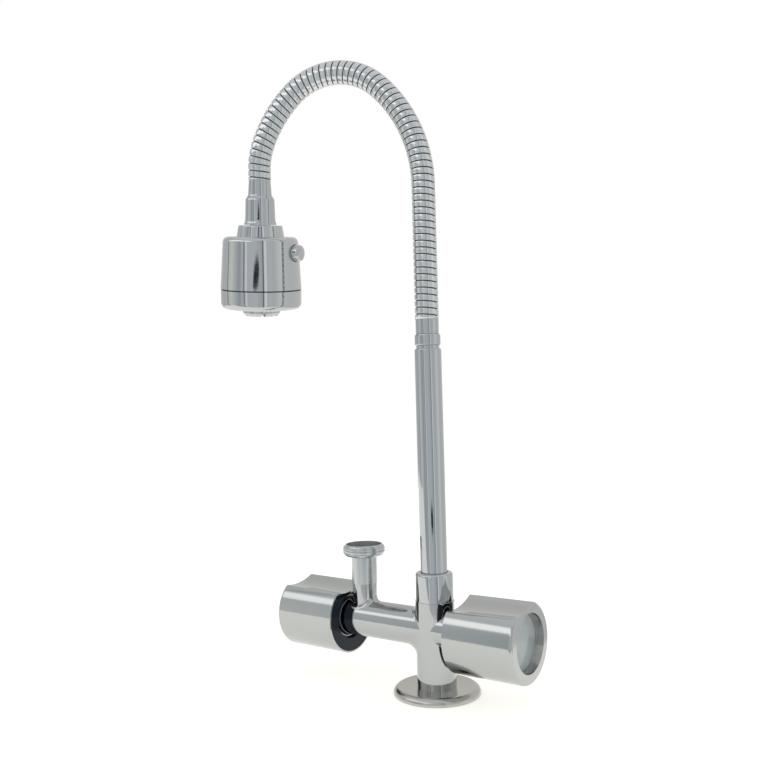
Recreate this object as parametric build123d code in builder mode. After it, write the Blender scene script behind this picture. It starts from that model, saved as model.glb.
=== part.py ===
from build123d import *
import os
from math import cos, pi, radians, sin, sqrt, tan

os.makedirs("parts", exist_ok=True)

# A pillar tap with two quarter-turn knobs, a threaded side outlet and a bendable
# metal neck that carries a two-way spray head. Millimetres. The origin is the centre
# of the base on the worktop, +Z is up the pillar and the arm lies along X.

# Clearances
running_gap = 0.3
bearing_gap = 0.06
fit_gap = 0.1
cut_margin = 1.0

# Worktop clamp
worktop_thickness = 24.0
flange_radius = 26.0
flange_foot_radius = 25.3
flange_lip_height = 1.0
flange_crown_radius = 21.5
flange_crown_height = 4.6
flange_seat_height = 4.0
gasket_radius = 21.8
gasket_thickness = 1.6
shank_thread_radius = 10.48
shank_below_worktop = 24.0
shank_bore_radius = 5.5
shank_spigot_radius = 8.5
shank_spigot_length = 10.0
shank_seal_thickness = 1.6
shank_seal_inset = 0.5
clamp_washer_radius = 17.0
clamp_washer_thickness = 1.6
clamp_seal_thickness = 2.0
lock_nut_flats = 27.0
lock_nut_height = 6.0
lock_nut_bevel_slope = 1.2

# Cast body
column_radius = 11.65
column_top = 54.8
collar_spigot_radius = 9.4
collar_spigot_length = 7.2
arm_radius = 11.2
arm_height = 37.9
left_arm_length = 68.3
right_arm_length = 24.2
crotch_radius_above = 3.0
crotch_radius_below = 8.0
outlet_from_arm_end = 16.3
outlet_x = outlet_from_arm_end - left_arm_length
outlet_boss_radius = 7.7
outlet_boss_top = 60.2
outlet_boss_blend = 3.6
plenum_radius = 7.4
plenum_height = 3.0
supply_bore_radius = 3.3
supply_bore_offset = 5.4
gallery_radius = 3.6
outlet_bore_radius = 3.3

# Threaded side outlet
nipple_tube_radius = 7.95
nipple_bore_radius = 5.6
nipple_mouth_radius = 11.0
nipple_mouth_depth = 6.6
nipple_spigot_radius = 6.6
nipple_spigot_length = 6.0
nipple_seal_thickness = 1.4
outlet_top = 84.2
thread_radius = 13.22
thread_root_depth = 0.8
thread_pitch = 1.814
thread_turns = 3
thread_lead_in = 0.8
thread_end_drop = 0.45
nipple_flare_height = 1.3
nipple_flare_radius = 11.4
nipple_seal_bore_radius = 4.6

# Headworks, one behind each knob, measured outwards from the end of the arm
chamber_radius = 8.6
chamber_depth = 23.0
headwork_thread_radius = 9.2
headwork_thread_length = 7.0
bonnet_seal_thickness = 0.8
bonnet_flange_thickness = 3.0
bonnet_flats = 17.0
bonnet_hex_height = 5.0
bonnet_neck_radius = 6.0
bonnet_neck_length = 1.8
bonnet_barrel_radius = 7.8
disc_radius = 6.3
disc_thickness = 2.8
disc_chamber_depth = 11.0
seat_seal_thickness = 1.5
seat_seal_bore = 3.8
port_width = 3.2
port_offset = 3.0
window_height = 3.0
window_setback = 1.0
spindle_radius = 3.0
spindle_spline_radius = 4.0
spindle_dog_width = 3.0
spindle_dog_height = 1.4
spindle_seal_depth = 0.7
spindle_seal_width = 1.4
spindle_seal_setback = 1.0
spline_teeth = 10
spline_depth = 0.45

# Knobs, measured outwards from their open end
knob_radius = 22.8
knob_length = 43.8
knob_over_arm = 6.0
knob_wall = 1.0
knob_edge_round = 2.0
scoop_radius = 38.0
scoop_depth_open_end = 15.9
scoop_depth_closed_end = 17.5
scoop_leans = {"left": 7.0, "right": 10.0}
recess_radius = 16.6
recess_depth = 5.0
index_cap_radius = 15.5
index_cap_thickness = 1.6
index_cap_stem_radius = 4.6
index_cap_stem_length = 3.0
insert_setback = 0.4
insert_mouth_radius = 14.0
insert_mouth_depth = 3.3
hub_web_thickness = 2.0
screw_well_radius = 5.0
screw_well_depth = 6.8
knob_screw_radius = 1.95
knob_screw_head_radius = 3.6
knob_screw_head_height = 2.4
knob_screw_length = 11.0
screw_slot_width = 0.9
screw_slot_depth = 1.2
guide_ring_radius = 12.95
guide_ring_width = 0.6
guide_ring_height = 0.7

# Riser and the collar that holds it
collar_radius = 11.2
collar_top = 71.6
collar_edge_round = 1.8
collar_lip_thickness = 2.4
riser_radius = 8.0
riser_wall = 1.8
riser_bottom = 50.2
riser_top = 204.1
riser_top_round = 1.1
riser_shoulder_radius = 9.2
riser_shoulder_thickness = 2.0
riser_socket_radius = 8.3
riser_socket_bottom = 49.6
riser_passage_radius = 3.0
riser_passage_setback = 0.2
riser_seal_depth = 0.8
riser_seal_width = 2.0
riser_seal_heights = (52.6, 57.0)
bush_radius = 9.4

# Bendable neck
neck_heading = 21.0
hose_radius = 7.1
hose_bore_radius = 5.6
hose_pitch = 3.95
hose_groove_width = 0.75
hose_groove_depth = 0.5
hose_straight_up = 80.6
bend_radii = (88.5, 40.5, 76.0)
bend_turns = (45.5, 86.0, 28.5)
last_bend_radius = 42.0
hose_straight_end = 6.9
head_lean_out = 5.3
head_lean_back = 11.0
hose_joint_length = 6.0
liner_radius = 4.4
liner_wall = 1.2
ferrule_radius = 6.9
ferrule_groove_width = 1.5
bead_radius = 7.7
bead_length = 7.1
bead_round = 1.2
ferrule_cuff_length = 8.7
ferrule_spigot_length = 14.0

# Upper ferrule and swivel, measured along the head's axis from the end of the hose
cuff_radius = 6.8
cuff_end_radius = 7.4
cuff_length = 8.6
flare_end = 13.4
flare_radius = 9.2
swivel_radius = 9.6
swivel_end = 25.0
swivel_foot_radius = 10.4
swivel_foot_start = 27.5
swivel_foot_end = 28.2
swivel_bore_radius = 3.2
stem_radius = 6.5
stem_end = 40.0
stem_ring_radius = 7.6
stem_ring_thickness = 1.5
stem_seal_start = 35.6
stem_seal_width = 2.0
stem_seal_depth = 0.9

# Spray head
collar_small_radius = 13.9
collar_large_radius = 15.2
collar_end = 35.7
collar_round = 0.9
shell_shoulder_radius = 20.4
shell_shoulder_drop = 3.45
shell_shoulder_width = 24.1
shell_radius = 26.0
shell_end = 68.7
shell_wall = 2.0
shell_mouth_radius = 12.2
seam_width = 0.8
seam_depth = 0.9
ring_radius = 25.9
ring_end = 81.6
ring_edge_round = 4.0
ring_wall = 2.2
core_spigot_radius = 11.0
core_spigot_start = 30.4
core_radius = 13.5
core_flange_radius = 23.2
core_flange_start = 57.0
core_flange_thickness = 3.4
core_bore_end = 41.0
core_passage_radius = 2.6
core_outlet_offset = 8.0
core_seal_depth = 0.9
core_seal_width = 1.6
plate_radius = 22.4
plate_lip_width = 1.0
plate_start = 78.4
plate_rim_end = 80.6
plate_rim_width = 1.2
plate_crown_end = 81.1
plate_hole_radius = 12.4
nozzle_ring_radii = (15.8, 19.4)
nozzle_counts = (8, 12)
nozzle_radius = 0.85
nozzle_hole_radius = 1.1
nozzle_tip = 81.9
pad_start = 75.8
aerator_radius = 12.0
aerator_tip_radius = 10.4
aerator_start = 73.6
aerator_shoulder = 84.2
aerator_end = 86.2
aerator_bore_radius = 8.4
aerator_notches = 12
aerator_notch_width = 1.6
aerator_notch_depth = 0.8
aerator_notch_overlap = 0.6
mesh_thickness = 0.8
mesh_start = 82.8
mesh_rim_width = 1.5
mesh_slot_width = 0.9
mesh_slot_pitch = 2.1

# Selector button
button_heading = 16.0
button_station = 45.6
button_radius = 5.3
button_reach = 29.8
button_dome = 3.2
button_shoulder = 17.2
button_stem_radius = 3.1
button_stem_length = 20.0
button_seal_reach = 9.0
button_seal_depth = 0.7
button_seal_width = 1.6
button_travel = 3.0


def save(piece, name):
    """Label a finished piece and write it under its name."""
    piece.part.label = name
    export_step(piece.part, f"parts/{name}.step")


def axial_section(place):
    """Plane for the half section of a round piece: X is its radius, Y runs along its axis."""
    return Plane(origin=place.origin, x_dir=place.x_dir, z_dir=-place.y_dir)


def axis_of(place):
    """The axis of a round piece that stands on a plane."""
    return Axis(place.origin, place.z_dir)


upright = Plane.XY
outlet = Plane(origin=(outlet_x, 0, 0), x_dir=(1, 0, 0), z_dir=(0, 0, 1))
scoop_ways = {
    side: Vector(0, -sin(radians(lean)), cos(radians(lean))) for side, lean in scoop_leans.items()
}
arm_ends = {
    "left": Plane(origin=(-left_arm_length, 0, arm_height), x_dir=scoop_ways["left"], z_dir=(-1, 0, 0)),
    "right": Plane(origin=(right_arm_length, 0, arm_height), x_dir=scoop_ways["right"], z_dir=(1, 0, 0)),
}
knob_mouths = {side: place.offset(-knob_over_arm) for side, place in arm_ends.items()}

# Base flange: a shallow dished cover that seals on the worktop
with BuildPart() as base_flange:
    shank_hole_radius = shank_thread_radius + 2 * fit_gap
    with BuildSketch(Plane.XZ):
        with BuildLine():
            foot = TangentArc(
                (flange_radius, flange_lip_height), (flange_foot_radius, 0), tangent=(0, -1)
            )
            crown = TangentArc(foot @ 0, (flange_crown_radius, flange_crown_height), tangent=(0, 1))
            Polyline(
                crown @ 1,
                (column_radius + 1, flange_seat_height),
                (shank_hole_radius, flange_seat_height),
                (shank_hole_radius, gasket_thickness),
                (gasket_radius + fit_gap, gasket_thickness),
                (gasket_radius + fit_gap, 0),
                foot @ 1,
            )
        make_face()
    revolve(axis=Axis.Z)
save(base_flange, "base_flange")

# Base gasket, flush with the underside of the flange
with BuildPart() as base_gasket:
    with BuildSketch():
        Circle(gasket_radius)
        Circle(shank_thread_radius + 2 * fit_gap, mode=Mode.SUBTRACT)
    extrude(amount=gasket_thickness)
save(base_gasket, "base_gasket")

# Threaded shank that carries the supply up through the worktop
with BuildPart() as inlet_shank:
    shank_bottom = -worktop_thickness - shank_below_worktop
    shank_lead_in = 1.0
    with BuildSketch(Plane.XZ):
        with BuildLine():
            Polyline(
                (shank_bore_radius, shank_bottom),
                (shank_thread_radius - shank_lead_in, shank_bottom),
                (shank_thread_radius, shank_bottom + shank_lead_in),
                (shank_thread_radius, flange_seat_height),
                (shank_spigot_radius, flange_seat_height),
                (shank_spigot_radius, flange_seat_height + shank_spigot_length),
                (shank_bore_radius, flange_seat_height + shank_spigot_length),
                close=True,
            )
        make_face()
    revolve(axis=Axis.Z)
save(inlet_shank, "inlet_shank")

# Seal on the end of the shank, inside the body
with BuildPart() as shank_seal:
    with BuildSketch(Plane.XY.offset(flange_seat_height + shank_spigot_length)):
        Circle(shank_spigot_radius)
        Circle(shank_bore_radius + shank_seal_inset, mode=Mode.SUBTRACT)
    extrude(amount=shank_seal_thickness)
save(shank_seal, "shank_seal")

# Clamp under the worktop: rubber seal, steel washer and lock nut
with BuildPart() as backing_seal:
    with BuildSketch(Plane.XY.offset(-worktop_thickness)):
        Circle(clamp_washer_radius)
        Circle(shank_thread_radius + fit_gap, mode=Mode.SUBTRACT)
    extrude(amount=-clamp_seal_thickness)
save(backing_seal, "backing_seal")

with BuildPart() as backing_washer:
    with BuildSketch(Plane.XY.offset(-worktop_thickness - clamp_seal_thickness)):
        Circle(clamp_washer_radius)
        Circle(shank_thread_radius + fit_gap, mode=Mode.SUBTRACT)
    extrude(amount=-clamp_washer_thickness)
    washer_edges = backing_washer.edges().filter_by(GeomType.CIRCLE)
    chamfer(washer_edges.group_by(SortBy.RADIUS)[-1], length=clamp_washer_thickness / 4)
save(backing_washer, "backing_washer")

with BuildPart() as lock_nut:
    nut_top = -worktop_thickness - clamp_seal_thickness - clamp_washer_thickness
    with BuildSketch(Plane.XY.offset(nut_top)):
        RegularPolygon(lock_nut_flats / 2, side_count=6, major_radius=False)
        Circle(shank_thread_radius + fit_gap, mode=Mode.SUBTRACT)
    extrude(amount=-lock_nut_height)
    corner_radius = lock_nut_flats / 2 / cos(pi / 6)
    corner_chamfer = corner_radius - lock_nut_flats / 2
    bevel_height = corner_chamfer * lock_nut_bevel_slope
    with BuildSketch(Plane.XZ, mode=Mode.PRIVATE) as nut_bevel:
        with BuildLine():
            Polyline(
                (lock_nut_flats / 2, nut_top - lock_nut_height),
                (corner_radius + corner_chamfer, nut_top - lock_nut_height),
                (corner_radius + corner_chamfer, nut_top - lock_nut_height + bevel_height),
                close=True,
            )
        make_face()
    revolve(nut_bevel.sketch, axis=Axis.Z, mode=Mode.SUBTRACT)
save(lock_nut, "lock_nut")


def casting_blank(crotch_radius):
    """Pillar, arm and outlet boss as one solid, blended where they meet."""
    with BuildPart() as blank:
        with BuildSketch(Plane.XY.offset(flange_seat_height)):
            Circle(column_radius)
        extrude(amount=column_top - flange_seat_height)
        with BuildSketch(Plane.YZ.offset(-left_arm_length)):
            with Locations((0, arm_height)):
                Circle(arm_radius)
        extrude(amount=left_arm_length + right_arm_length)
        crossing = blank.edges().filter_by(GeomType.BSPLINE)
        fillet(crossing.filter_by_position(Axis.X, -left_arm_length, 0), crotch_radius)
        with BuildSketch(outlet.offset(arm_height)):
            Circle(outlet_boss_radius)
        extrude(amount=outlet_boss_top - arm_height)
        fillet(blank.edges(Select.LAST).filter_by(GeomType.BSPLINE), outlet_boss_blend)
    return blank.part


# Cast body, with a wider blend under the arm than over it, bored for the water
arm_level = Plane.XY.offset(arm_height)
upper_half = split(casting_blank(crotch_radius_above), arm_level, Keep.TOP)
lower_half = split(casting_blank(crotch_radius_below), arm_level, Keep.BOTTOM)
with BuildPart() as tap_body:
    add(upper_half)
    add(lower_half)
    with BuildSketch(Plane.XY.offset(column_top)):
        Circle(collar_spigot_radius)
    extrude(amount=collar_spigot_length)

    # Supply: shank socket, plenum, offset riser bore and the gallery along the arm
    socket_radius = shank_spigot_radius + fit_gap
    socket_depth = shank_spigot_length + shank_seal_thickness
    with BuildSketch(Plane.XY.offset(flange_seat_height)):
        Circle(socket_radius)
    extrude(amount=socket_depth, mode=Mode.SUBTRACT)
    with BuildSketch(Plane.XY.offset(flange_seat_height + socket_depth)):
        Circle(plenum_radius)
    extrude(amount=plenum_height, mode=Mode.SUBTRACT)
    with BuildSketch(Plane.XY.offset(flange_seat_height + socket_depth)):
        with Locations((-supply_bore_offset, 0)):
            Circle(supply_bore_radius)
    extrude(amount=arm_height - flange_seat_height - socket_depth, mode=Mode.SUBTRACT)
    right_seat_x = right_arm_length - chamber_depth
    left_seat_x = -left_arm_length + chamber_depth
    with BuildSketch(Plane.YZ.offset(left_seat_x)):
        with Locations((0, arm_height)):
            Circle(gallery_radius)
    extrude(amount=right_seat_x - left_seat_x, mode=Mode.SUBTRACT)

    # Valve chambers, threaded at their mouths
    for place in arm_ends.values():
        with BuildSketch(place):
            Circle(headwork_thread_radius + fit_gap)
        extrude(amount=-headwork_thread_length, mode=Mode.SUBTRACT)
        with BuildSketch(place):
            Circle(chamber_radius)
        extrude(amount=-chamber_depth, mode=Mode.SUBTRACT)

    # Ways out: up to the riser and up to the side outlet
    with BuildSketch(Plane.XY.offset(arm_height)):
        with Locations((right_seat_x + riser_passage_setback + riser_passage_radius, 0)):
            Circle(riser_passage_radius)
    extrude(amount=riser_socket_bottom - arm_height, mode=Mode.SUBTRACT)
    with BuildSketch(Plane.XY.offset(riser_socket_bottom)):
        Circle(riser_socket_radius)
    extrude(amount=column_top + collar_spigot_length - riser_socket_bottom, mode=Mode.SUBTRACT)
    with BuildSketch(outlet.offset(arm_height)):
        Circle(outlet_bore_radius)
    extrude(amount=outlet_boss_top - arm_height, mode=Mode.SUBTRACT)
    with BuildSketch(outlet.offset(outlet_boss_top)):
        Circle(nipple_spigot_radius + fit_gap)
    extrude(amount=-nipple_spigot_length - nipple_seal_thickness, mode=Mode.SUBTRACT)
save(tap_body, "tap_body")

# Threaded outlet nipple, screwed into its boss
with BuildPart() as outlet_nipple:
    thread_bottom = outlet_top - thread_lead_in - thread_turns * thread_pitch
    thread_root = thread_radius - thread_root_depth
    with BuildSketch(axial_section(outlet)):
        with BuildLine():
            Polyline(
                (nipple_bore_radius, outlet_boss_top - nipple_spigot_length),
                (nipple_spigot_radius, outlet_boss_top - nipple_spigot_length),
                (nipple_spigot_radius, outlet_boss_top),
                (nipple_tube_radius, outlet_boss_top),
                (nipple_tube_radius, thread_bottom - nipple_flare_height),
            )
            flare = Spline(
                (nipple_tube_radius, thread_bottom - nipple_flare_height),
                (nipple_flare_radius, thread_bottom - nipple_flare_height / 2),
                (thread_root, thread_bottom),
                tangents=((0.2, 1), (0.2, 1)),
            )
            ridge_points = [flare @ 1]
            for turn in range(thread_turns):
                base = thread_bottom + turn * thread_pitch
                outermost = turn in (0, thread_turns - 1)
                crest = thread_radius - thread_end_drop if outermost else thread_radius
                ridge_points.append((thread_root, base + 0.15 * thread_pitch))
                ridge_points.append((crest, base + 0.45 * thread_pitch))
                ridge_points.append((crest, base + 0.6 * thread_pitch))
                ridge_points.append((thread_root, base + 0.9 * thread_pitch))
            ridge_points.append((thread_root, outlet_top - thread_lead_in))
            ridge_points.append((thread_root - thread_lead_in, outlet_top))
            ridge_points.append((nipple_mouth_radius, outlet_top))
            ridge_points.append((nipple_mouth_radius, outlet_top - nipple_mouth_depth))
            ridge_points.append((nipple_bore_radius, outlet_top - nipple_mouth_depth))
            ridge_points.append((nipple_bore_radius, outlet_boss_top - nipple_spigot_length))
            Polyline(*ridge_points)
        make_face()
    revolve(axis=axis_of(outlet))
save(outlet_nipple, "outlet_nipple")

with BuildPart() as nipple_seal:
    with BuildSketch(outlet.offset(outlet_boss_top - nipple_spigot_length)):
        Circle(nipple_spigot_radius)
        Circle(nipple_seal_bore_radius, mode=Mode.SUBTRACT)
    extrude(amount=-nipple_seal_thickness)
save(nipple_seal, "nipple_seal")

# Collar nut and bush that keep the riser upright
with BuildPart() as riser_collar:
    collar_bore_radius = collar_spigot_radius + fit_gap
    with BuildSketch(Plane.XY.offset(column_top)):
        Circle(collar_radius)
    extrude(amount=collar_top - column_top)
    fillet(riser_collar.edges().group_by(Axis.Z)[-1], collar_edge_round)
    with BuildSketch(Plane.XY.offset(column_top)):
        Circle(collar_bore_radius)
    extrude(amount=collar_top - collar_lip_thickness - column_top, mode=Mode.SUBTRACT)
    with BuildSketch(Plane.XY.offset(column_top)):
        Circle(riser_radius + running_gap)
    extrude(amount=collar_top - column_top, mode=Mode.SUBTRACT)
save(riser_collar, "riser_collar")

shoulder_bottom = column_top + collar_spigot_length + running_gap
shoulder_top = shoulder_bottom + riser_shoulder_thickness
with BuildPart() as riser_bush:
    bush_top = collar_top - collar_lip_thickness
    with BuildSketch(Plane.XY.offset(bush_top)):
        Circle(bush_radius)
        Circle(riser_radius + running_gap / 2, mode=Mode.SUBTRACT)
    extrude(amount=shoulder_top + running_gap - bush_top)
save(riser_bush, "riser_bush")

# Riser: a straight tube that turns in the body on two rings
with BuildPart() as riser_tube:
    with BuildSketch(Plane.XY.offset(riser_bottom)):
        Circle(riser_radius)
    extrude(amount=riser_top - riser_bottom)
    fillet(riser_tube.edges().group_by(Axis.Z)[-1], riser_top_round)
    with BuildSketch(Plane.XY.offset(shoulder_bottom)):
        Circle(riser_shoulder_radius)
    extrude(amount=riser_shoulder_thickness)
    for height in riser_seal_heights:
        with BuildSketch(Plane.XY.offset(height)):
            Circle(riser_radius + cut_margin)
            Circle(riser_radius - riser_seal_depth, mode=Mode.SUBTRACT)
        extrude(amount=riser_seal_width, mode=Mode.SUBTRACT)
    with BuildSketch(Plane.XY.offset(riser_bottom)):
        Circle(riser_radius - riser_wall)
    extrude(amount=riser_top - riser_bottom, mode=Mode.SUBTRACT)
save(riser_tube, "riser_tube")

with BuildPart() as riser_seals:
    for height in riser_seal_heights:
        with BuildSketch(Plane.XY.offset(height)):
            Circle(riser_radius + running_gap / 2)
            Circle(riser_radius - riser_seal_depth, mode=Mode.SUBTRACT)
        extrude(amount=riser_seal_width)
save(riser_seals, "riser_seals")

# Ferrule with a bead, pressed into the top of the riser
ferrule_groove_top = riser_top + ferrule_groove_width
bead_top = ferrule_groove_top + bead_length
hose_start = bead_top + ferrule_cuff_length
with BuildPart() as neck_lower_ferrule:
    spigot_radius = riser_radius - riser_wall
    hose_spigot_radius = hose_bore_radius - fit_gap
    liner_bore = liner_radius + fit_gap
    water_radius = liner_radius - liner_wall
    with BuildSketch(Plane.XZ):
        with BuildLine():
            Polyline(
                (water_radius, riser_top - ferrule_spigot_length),
                (spigot_radius, riser_top - ferrule_spigot_length),
                (spigot_radius, riser_top),
                (ferrule_radius, riser_top),
                (ferrule_radius, ferrule_groove_top),
                (bead_radius - bead_round, ferrule_groove_top),
            )
            low_round = RadiusArc(
                (bead_radius - bead_round, ferrule_groove_top),
                (bead_radius, ferrule_groove_top + bead_round),
                -bead_round,
            )
            bead_side = Line(low_round @ 1, (bead_radius, bead_top - bead_round))
            high_round = RadiusArc(bead_side @ 1, (bead_radius - bead_round, bead_top), -bead_round)
            Polyline(
                high_round @ 1,
                (ferrule_radius, bead_top),
                (ferrule_radius, hose_start),
                (hose_spigot_radius, hose_start),
                (hose_spigot_radius, hose_start + hose_joint_length),
                (liner_bore, hose_start + hose_joint_length),
                (liner_bore, hose_start - hose_joint_length),
                (water_radius, hose_start - hose_joint_length),
                (water_radius, riser_top - ferrule_spigot_length),
            )
        make_face()
    revolve(axis=Axis.Z)
save(neck_lower_ferrule, "neck_lower_ferrule")

# Path of the neck: straight up, three bends in one upright plane, then a short bend
# into the direction in which the head hangs, and a straight end
reach = Vector(-cos(radians(neck_heading)), -sin(radians(neck_heading)), 0)
backwards = Vector(-sin(radians(neck_heading)), cos(radians(neck_heading)), 0)
up = Vector(0, 0, 1)
head_down = (reach * tan(radians(head_lean_out)) + backwards * tan(radians(head_lean_back)) - up).normalized()

with BuildLine() as neck_path:
    straight = Line((0, 0, hose_start), (0, 0, hose_start + hose_straight_up))
    bend_start = straight @ 1
    turned = 0
    for bend_radius, bend_turn in zip(bend_radii, bend_turns):
        start_angle = radians(turned)
        stop_angle = radians(turned + bend_turn)
        across = (cos(start_angle) - cos(stop_angle)) * bend_radius
        rise = (sin(stop_angle) - sin(start_angle)) * bend_radius
        bend_end = bend_start + reach * across + up * rise
        TangentArc(bend_start, bend_end, tangent=up * cos(start_angle) + reach * sin(start_angle))
        bend_start = bend_end
        turned = turned + bend_turn
    last_direction = up * cos(radians(turned)) + reach * sin(radians(turned))
    last_turn = radians(last_direction.get_angle(head_down))
    toward = (head_down - last_direction * last_direction.dot(head_down)).normalized()
    bend_end = (
        bend_start
        + last_direction * last_bend_radius * sin(last_turn)
        + toward * last_bend_radius * (1 - cos(last_turn))
    )
    TangentArc(bend_start, bend_end, tangent=last_direction)
    hose_end = bend_end + head_down * hose_straight_end
    Line(bend_end, hose_end)
neck_wire = Wire(neck_path.edges())
neck_length = neck_wire.length


def neck_plane(distance):
    """Plane square to the neck at a distance along it, with a steady X axis."""
    centre = neck_wire.position_at(distance, position_mode=PositionMode.LENGTH)
    along = neck_wire.tangent_at(distance, position_mode=PositionMode.LENGTH)
    steady = (backwards - along * backwards.dot(along)).normalized()
    return Plane(origin=centre, x_dir=steady, z_dir=along)


# Strip-wound hose: each turn of the strip stands out from a narrow groove
rib_count = round(neck_length / hose_pitch)
rib_pitch = neck_length / rib_count
with BuildPart() as gooseneck_hose:
    ridge_width = rib_pitch - hose_groove_width
    groove_radius = hose_radius - hose_groove_depth
    slope = hose_groove_width / 4
    for rib in range(rib_count):
        start = rib * rib_pitch
        stations = (
            (start, hose_radius),
            (start + ridge_width - slope, hose_radius),
            (start + ridge_width, groove_radius),
            (start + rib_pitch - slope, groove_radius),
        )
        for distance, radius in stations:
            with BuildSketch(neck_plane(distance)):
                Circle(radius)
    with BuildSketch(neck_plane(neck_length)):
        Circle(hose_radius)
    loft(ruled=True)
    with BuildSketch(neck_plane(0)):
        Circle(hose_bore_radius)
    sweep(path=neck_wire, mode=Mode.SUBTRACT)
save(gooseneck_hose, "gooseneck_hose")
print(f"hose length {neck_length:.1f}, ribs {rib_count}, pitch {rib_pitch:.2f}")
print(f"hose wall {hose_radius - hose_bore_radius:.2f}, groove to bore {groove_radius - hose_bore_radius:.2f}")

# Inner hose that carries the water through the neck
head = Plane(origin=hose_end, x_dir=backwards - head_down * head_down.dot(backwards), z_dir=head_down)
with BuildPart() as liner_hose:
    with BuildLine(mode=Mode.PRIVATE) as liner_path:
        add(neck_path.edges())
        Line((0, 0, hose_start - hose_joint_length), (0, 0, hose_start))
        Line(hose_end, hose_end + head_down * hose_joint_length)
    with BuildSketch(Plane.XY.offset(hose_start - hose_joint_length)):
        Circle(liner_radius)
        Circle(liner_radius - liner_wall, mode=Mode.SUBTRACT)
    sweep(path=Wire(liner_path.edges()))
save(liner_hose, "liner_hose")

# Upper ferrule: cuff, flare, swivel barrel and the stem that the head turns on
stem_ring_start = core_spigot_start + running_gap
with BuildPart() as neck_upper_ferrule:
    stem_groove_radius = stem_radius - stem_seal_depth
    with BuildSketch(axial_section(head)):
        with BuildLine():
            cuff = Line((cuff_radius, 0), (cuff_end_radius, cuff_length))
            flared = Spline(cuff @ 1, (flare_radius, flare_end), tangents=((0, 1), (0, 1)))
            barrel = Line(flared @ 1, (swivel_radius, swivel_end))
            foot = TangentArc(barrel @ 1, (swivel_foot_radius, swivel_foot_start), tangent=barrel % 1)
            Polyline(
                foot @ 1,
                (swivel_foot_radius, swivel_foot_end),
                (stem_radius, swivel_foot_end),
                (stem_radius, stem_ring_start),
                (stem_ring_radius, stem_ring_start),
                (stem_ring_radius, stem_ring_start + stem_ring_thickness),
                (stem_radius, stem_ring_start + stem_ring_thickness),
                (stem_radius, stem_seal_start),
                (stem_groove_radius, stem_seal_start),
                (stem_groove_radius, stem_seal_start + stem_seal_width),
                (stem_radius, stem_seal_start + stem_seal_width),
                (stem_radius, stem_end),
                (swivel_bore_radius, stem_end),
                (swivel_bore_radius, hose_joint_length),
                (liner_bore, hose_joint_length),
                (liner_bore, -hose_joint_length),
                (hose_spigot_radius, -hose_joint_length),
                (hose_spigot_radius, 0),
                cuff @ 0,
            )
        make_face()
    revolve(axis=axis_of(head))
save(neck_upper_ferrule, "neck_upper_ferrule")

with BuildPart() as swivel_seal:
    with BuildSketch(head.offset(stem_seal_start)):
        Circle(stem_radius + running_gap / 2)
        Circle(stem_groove_radius, mode=Mode.SUBTRACT)
    extrude(amount=stem_seal_width)
save(swivel_seal, "swivel_seal")

# The head's own plane is turned so that its X axis is the way the button points
button_way = Vector(cos(radians(button_heading)), sin(radians(button_heading)), 0)
button_way = (button_way - head_down * button_way.dot(head_down)).normalized()
head = Plane(origin=hose_end, x_dir=button_way, z_dir=head_down)
button_place = Plane(origin=hose_end + head_down * button_station, x_dir=head_down, z_dir=button_way)
stem_bore_radius = stem_radius + running_gap

# Collar above the shell
with BuildPart() as head_collar:
    collar_start = swivel_foot_end + running_gap
    with BuildSketch(axial_section(head)):
        with BuildLine():
            Polyline(
                (stem_bore_radius, collar_start),
                (collar_small_radius, collar_start),
                (collar_large_radius, collar_end),
                (core_spigot_radius + fit_gap, collar_end),
                (core_spigot_radius + fit_gap, core_spigot_start),
                (stem_bore_radius, core_spigot_start),
                close=True,
            )
        make_face()
    revolve(axis=axis_of(head))
    collar_rim = head_collar.edges().filter_by(GeomType.CIRCLE)
    collar_rim = collar_rim.filter_by(lambda edge: abs(edge.radius - collar_small_radius) < fit_gap)
    fillet(collar_rim, collar_round)
save(head_collar, "head_collar")

# Shell of the head: a round-shouldered cup that widens a little towards its mouth
with BuildPart() as head_shell:
    with BuildSketch(axial_section(head)):
        with BuildLine():
            top = Line((shell_mouth_radius, collar_end), (shell_shoulder_radius, collar_end))
            shoulder = TangentArc(
                top @ 1, (shell_shoulder_width, collar_end + shell_shoulder_drop), tangent=(1, 0)
            )
            side = Line(shoulder @ 1, (shell_radius, shell_end))
            inner_drop = collar_end + shell_shoulder_drop + shell_wall
            Polyline(
                side @ 1,
                (shell_radius - shell_wall, shell_end),
                (shell_radius - shell_wall, core_flange_start),
                (shell_shoulder_width - shell_wall, inner_drop),
                (shell_shoulder_radius - shell_wall, collar_end + shell_wall),
                (shell_mouth_radius, collar_end + shell_wall),
                top @ 0,
            )
        make_face()
    revolve(axis=axis_of(head))
    with BuildSketch(button_place.offset(button_shoulder)):
        Circle(button_radius + running_gap)
    extrude(amount=button_reach - button_shoulder, mode=Mode.SUBTRACT)
save(head_shell, "head_shell")

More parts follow.
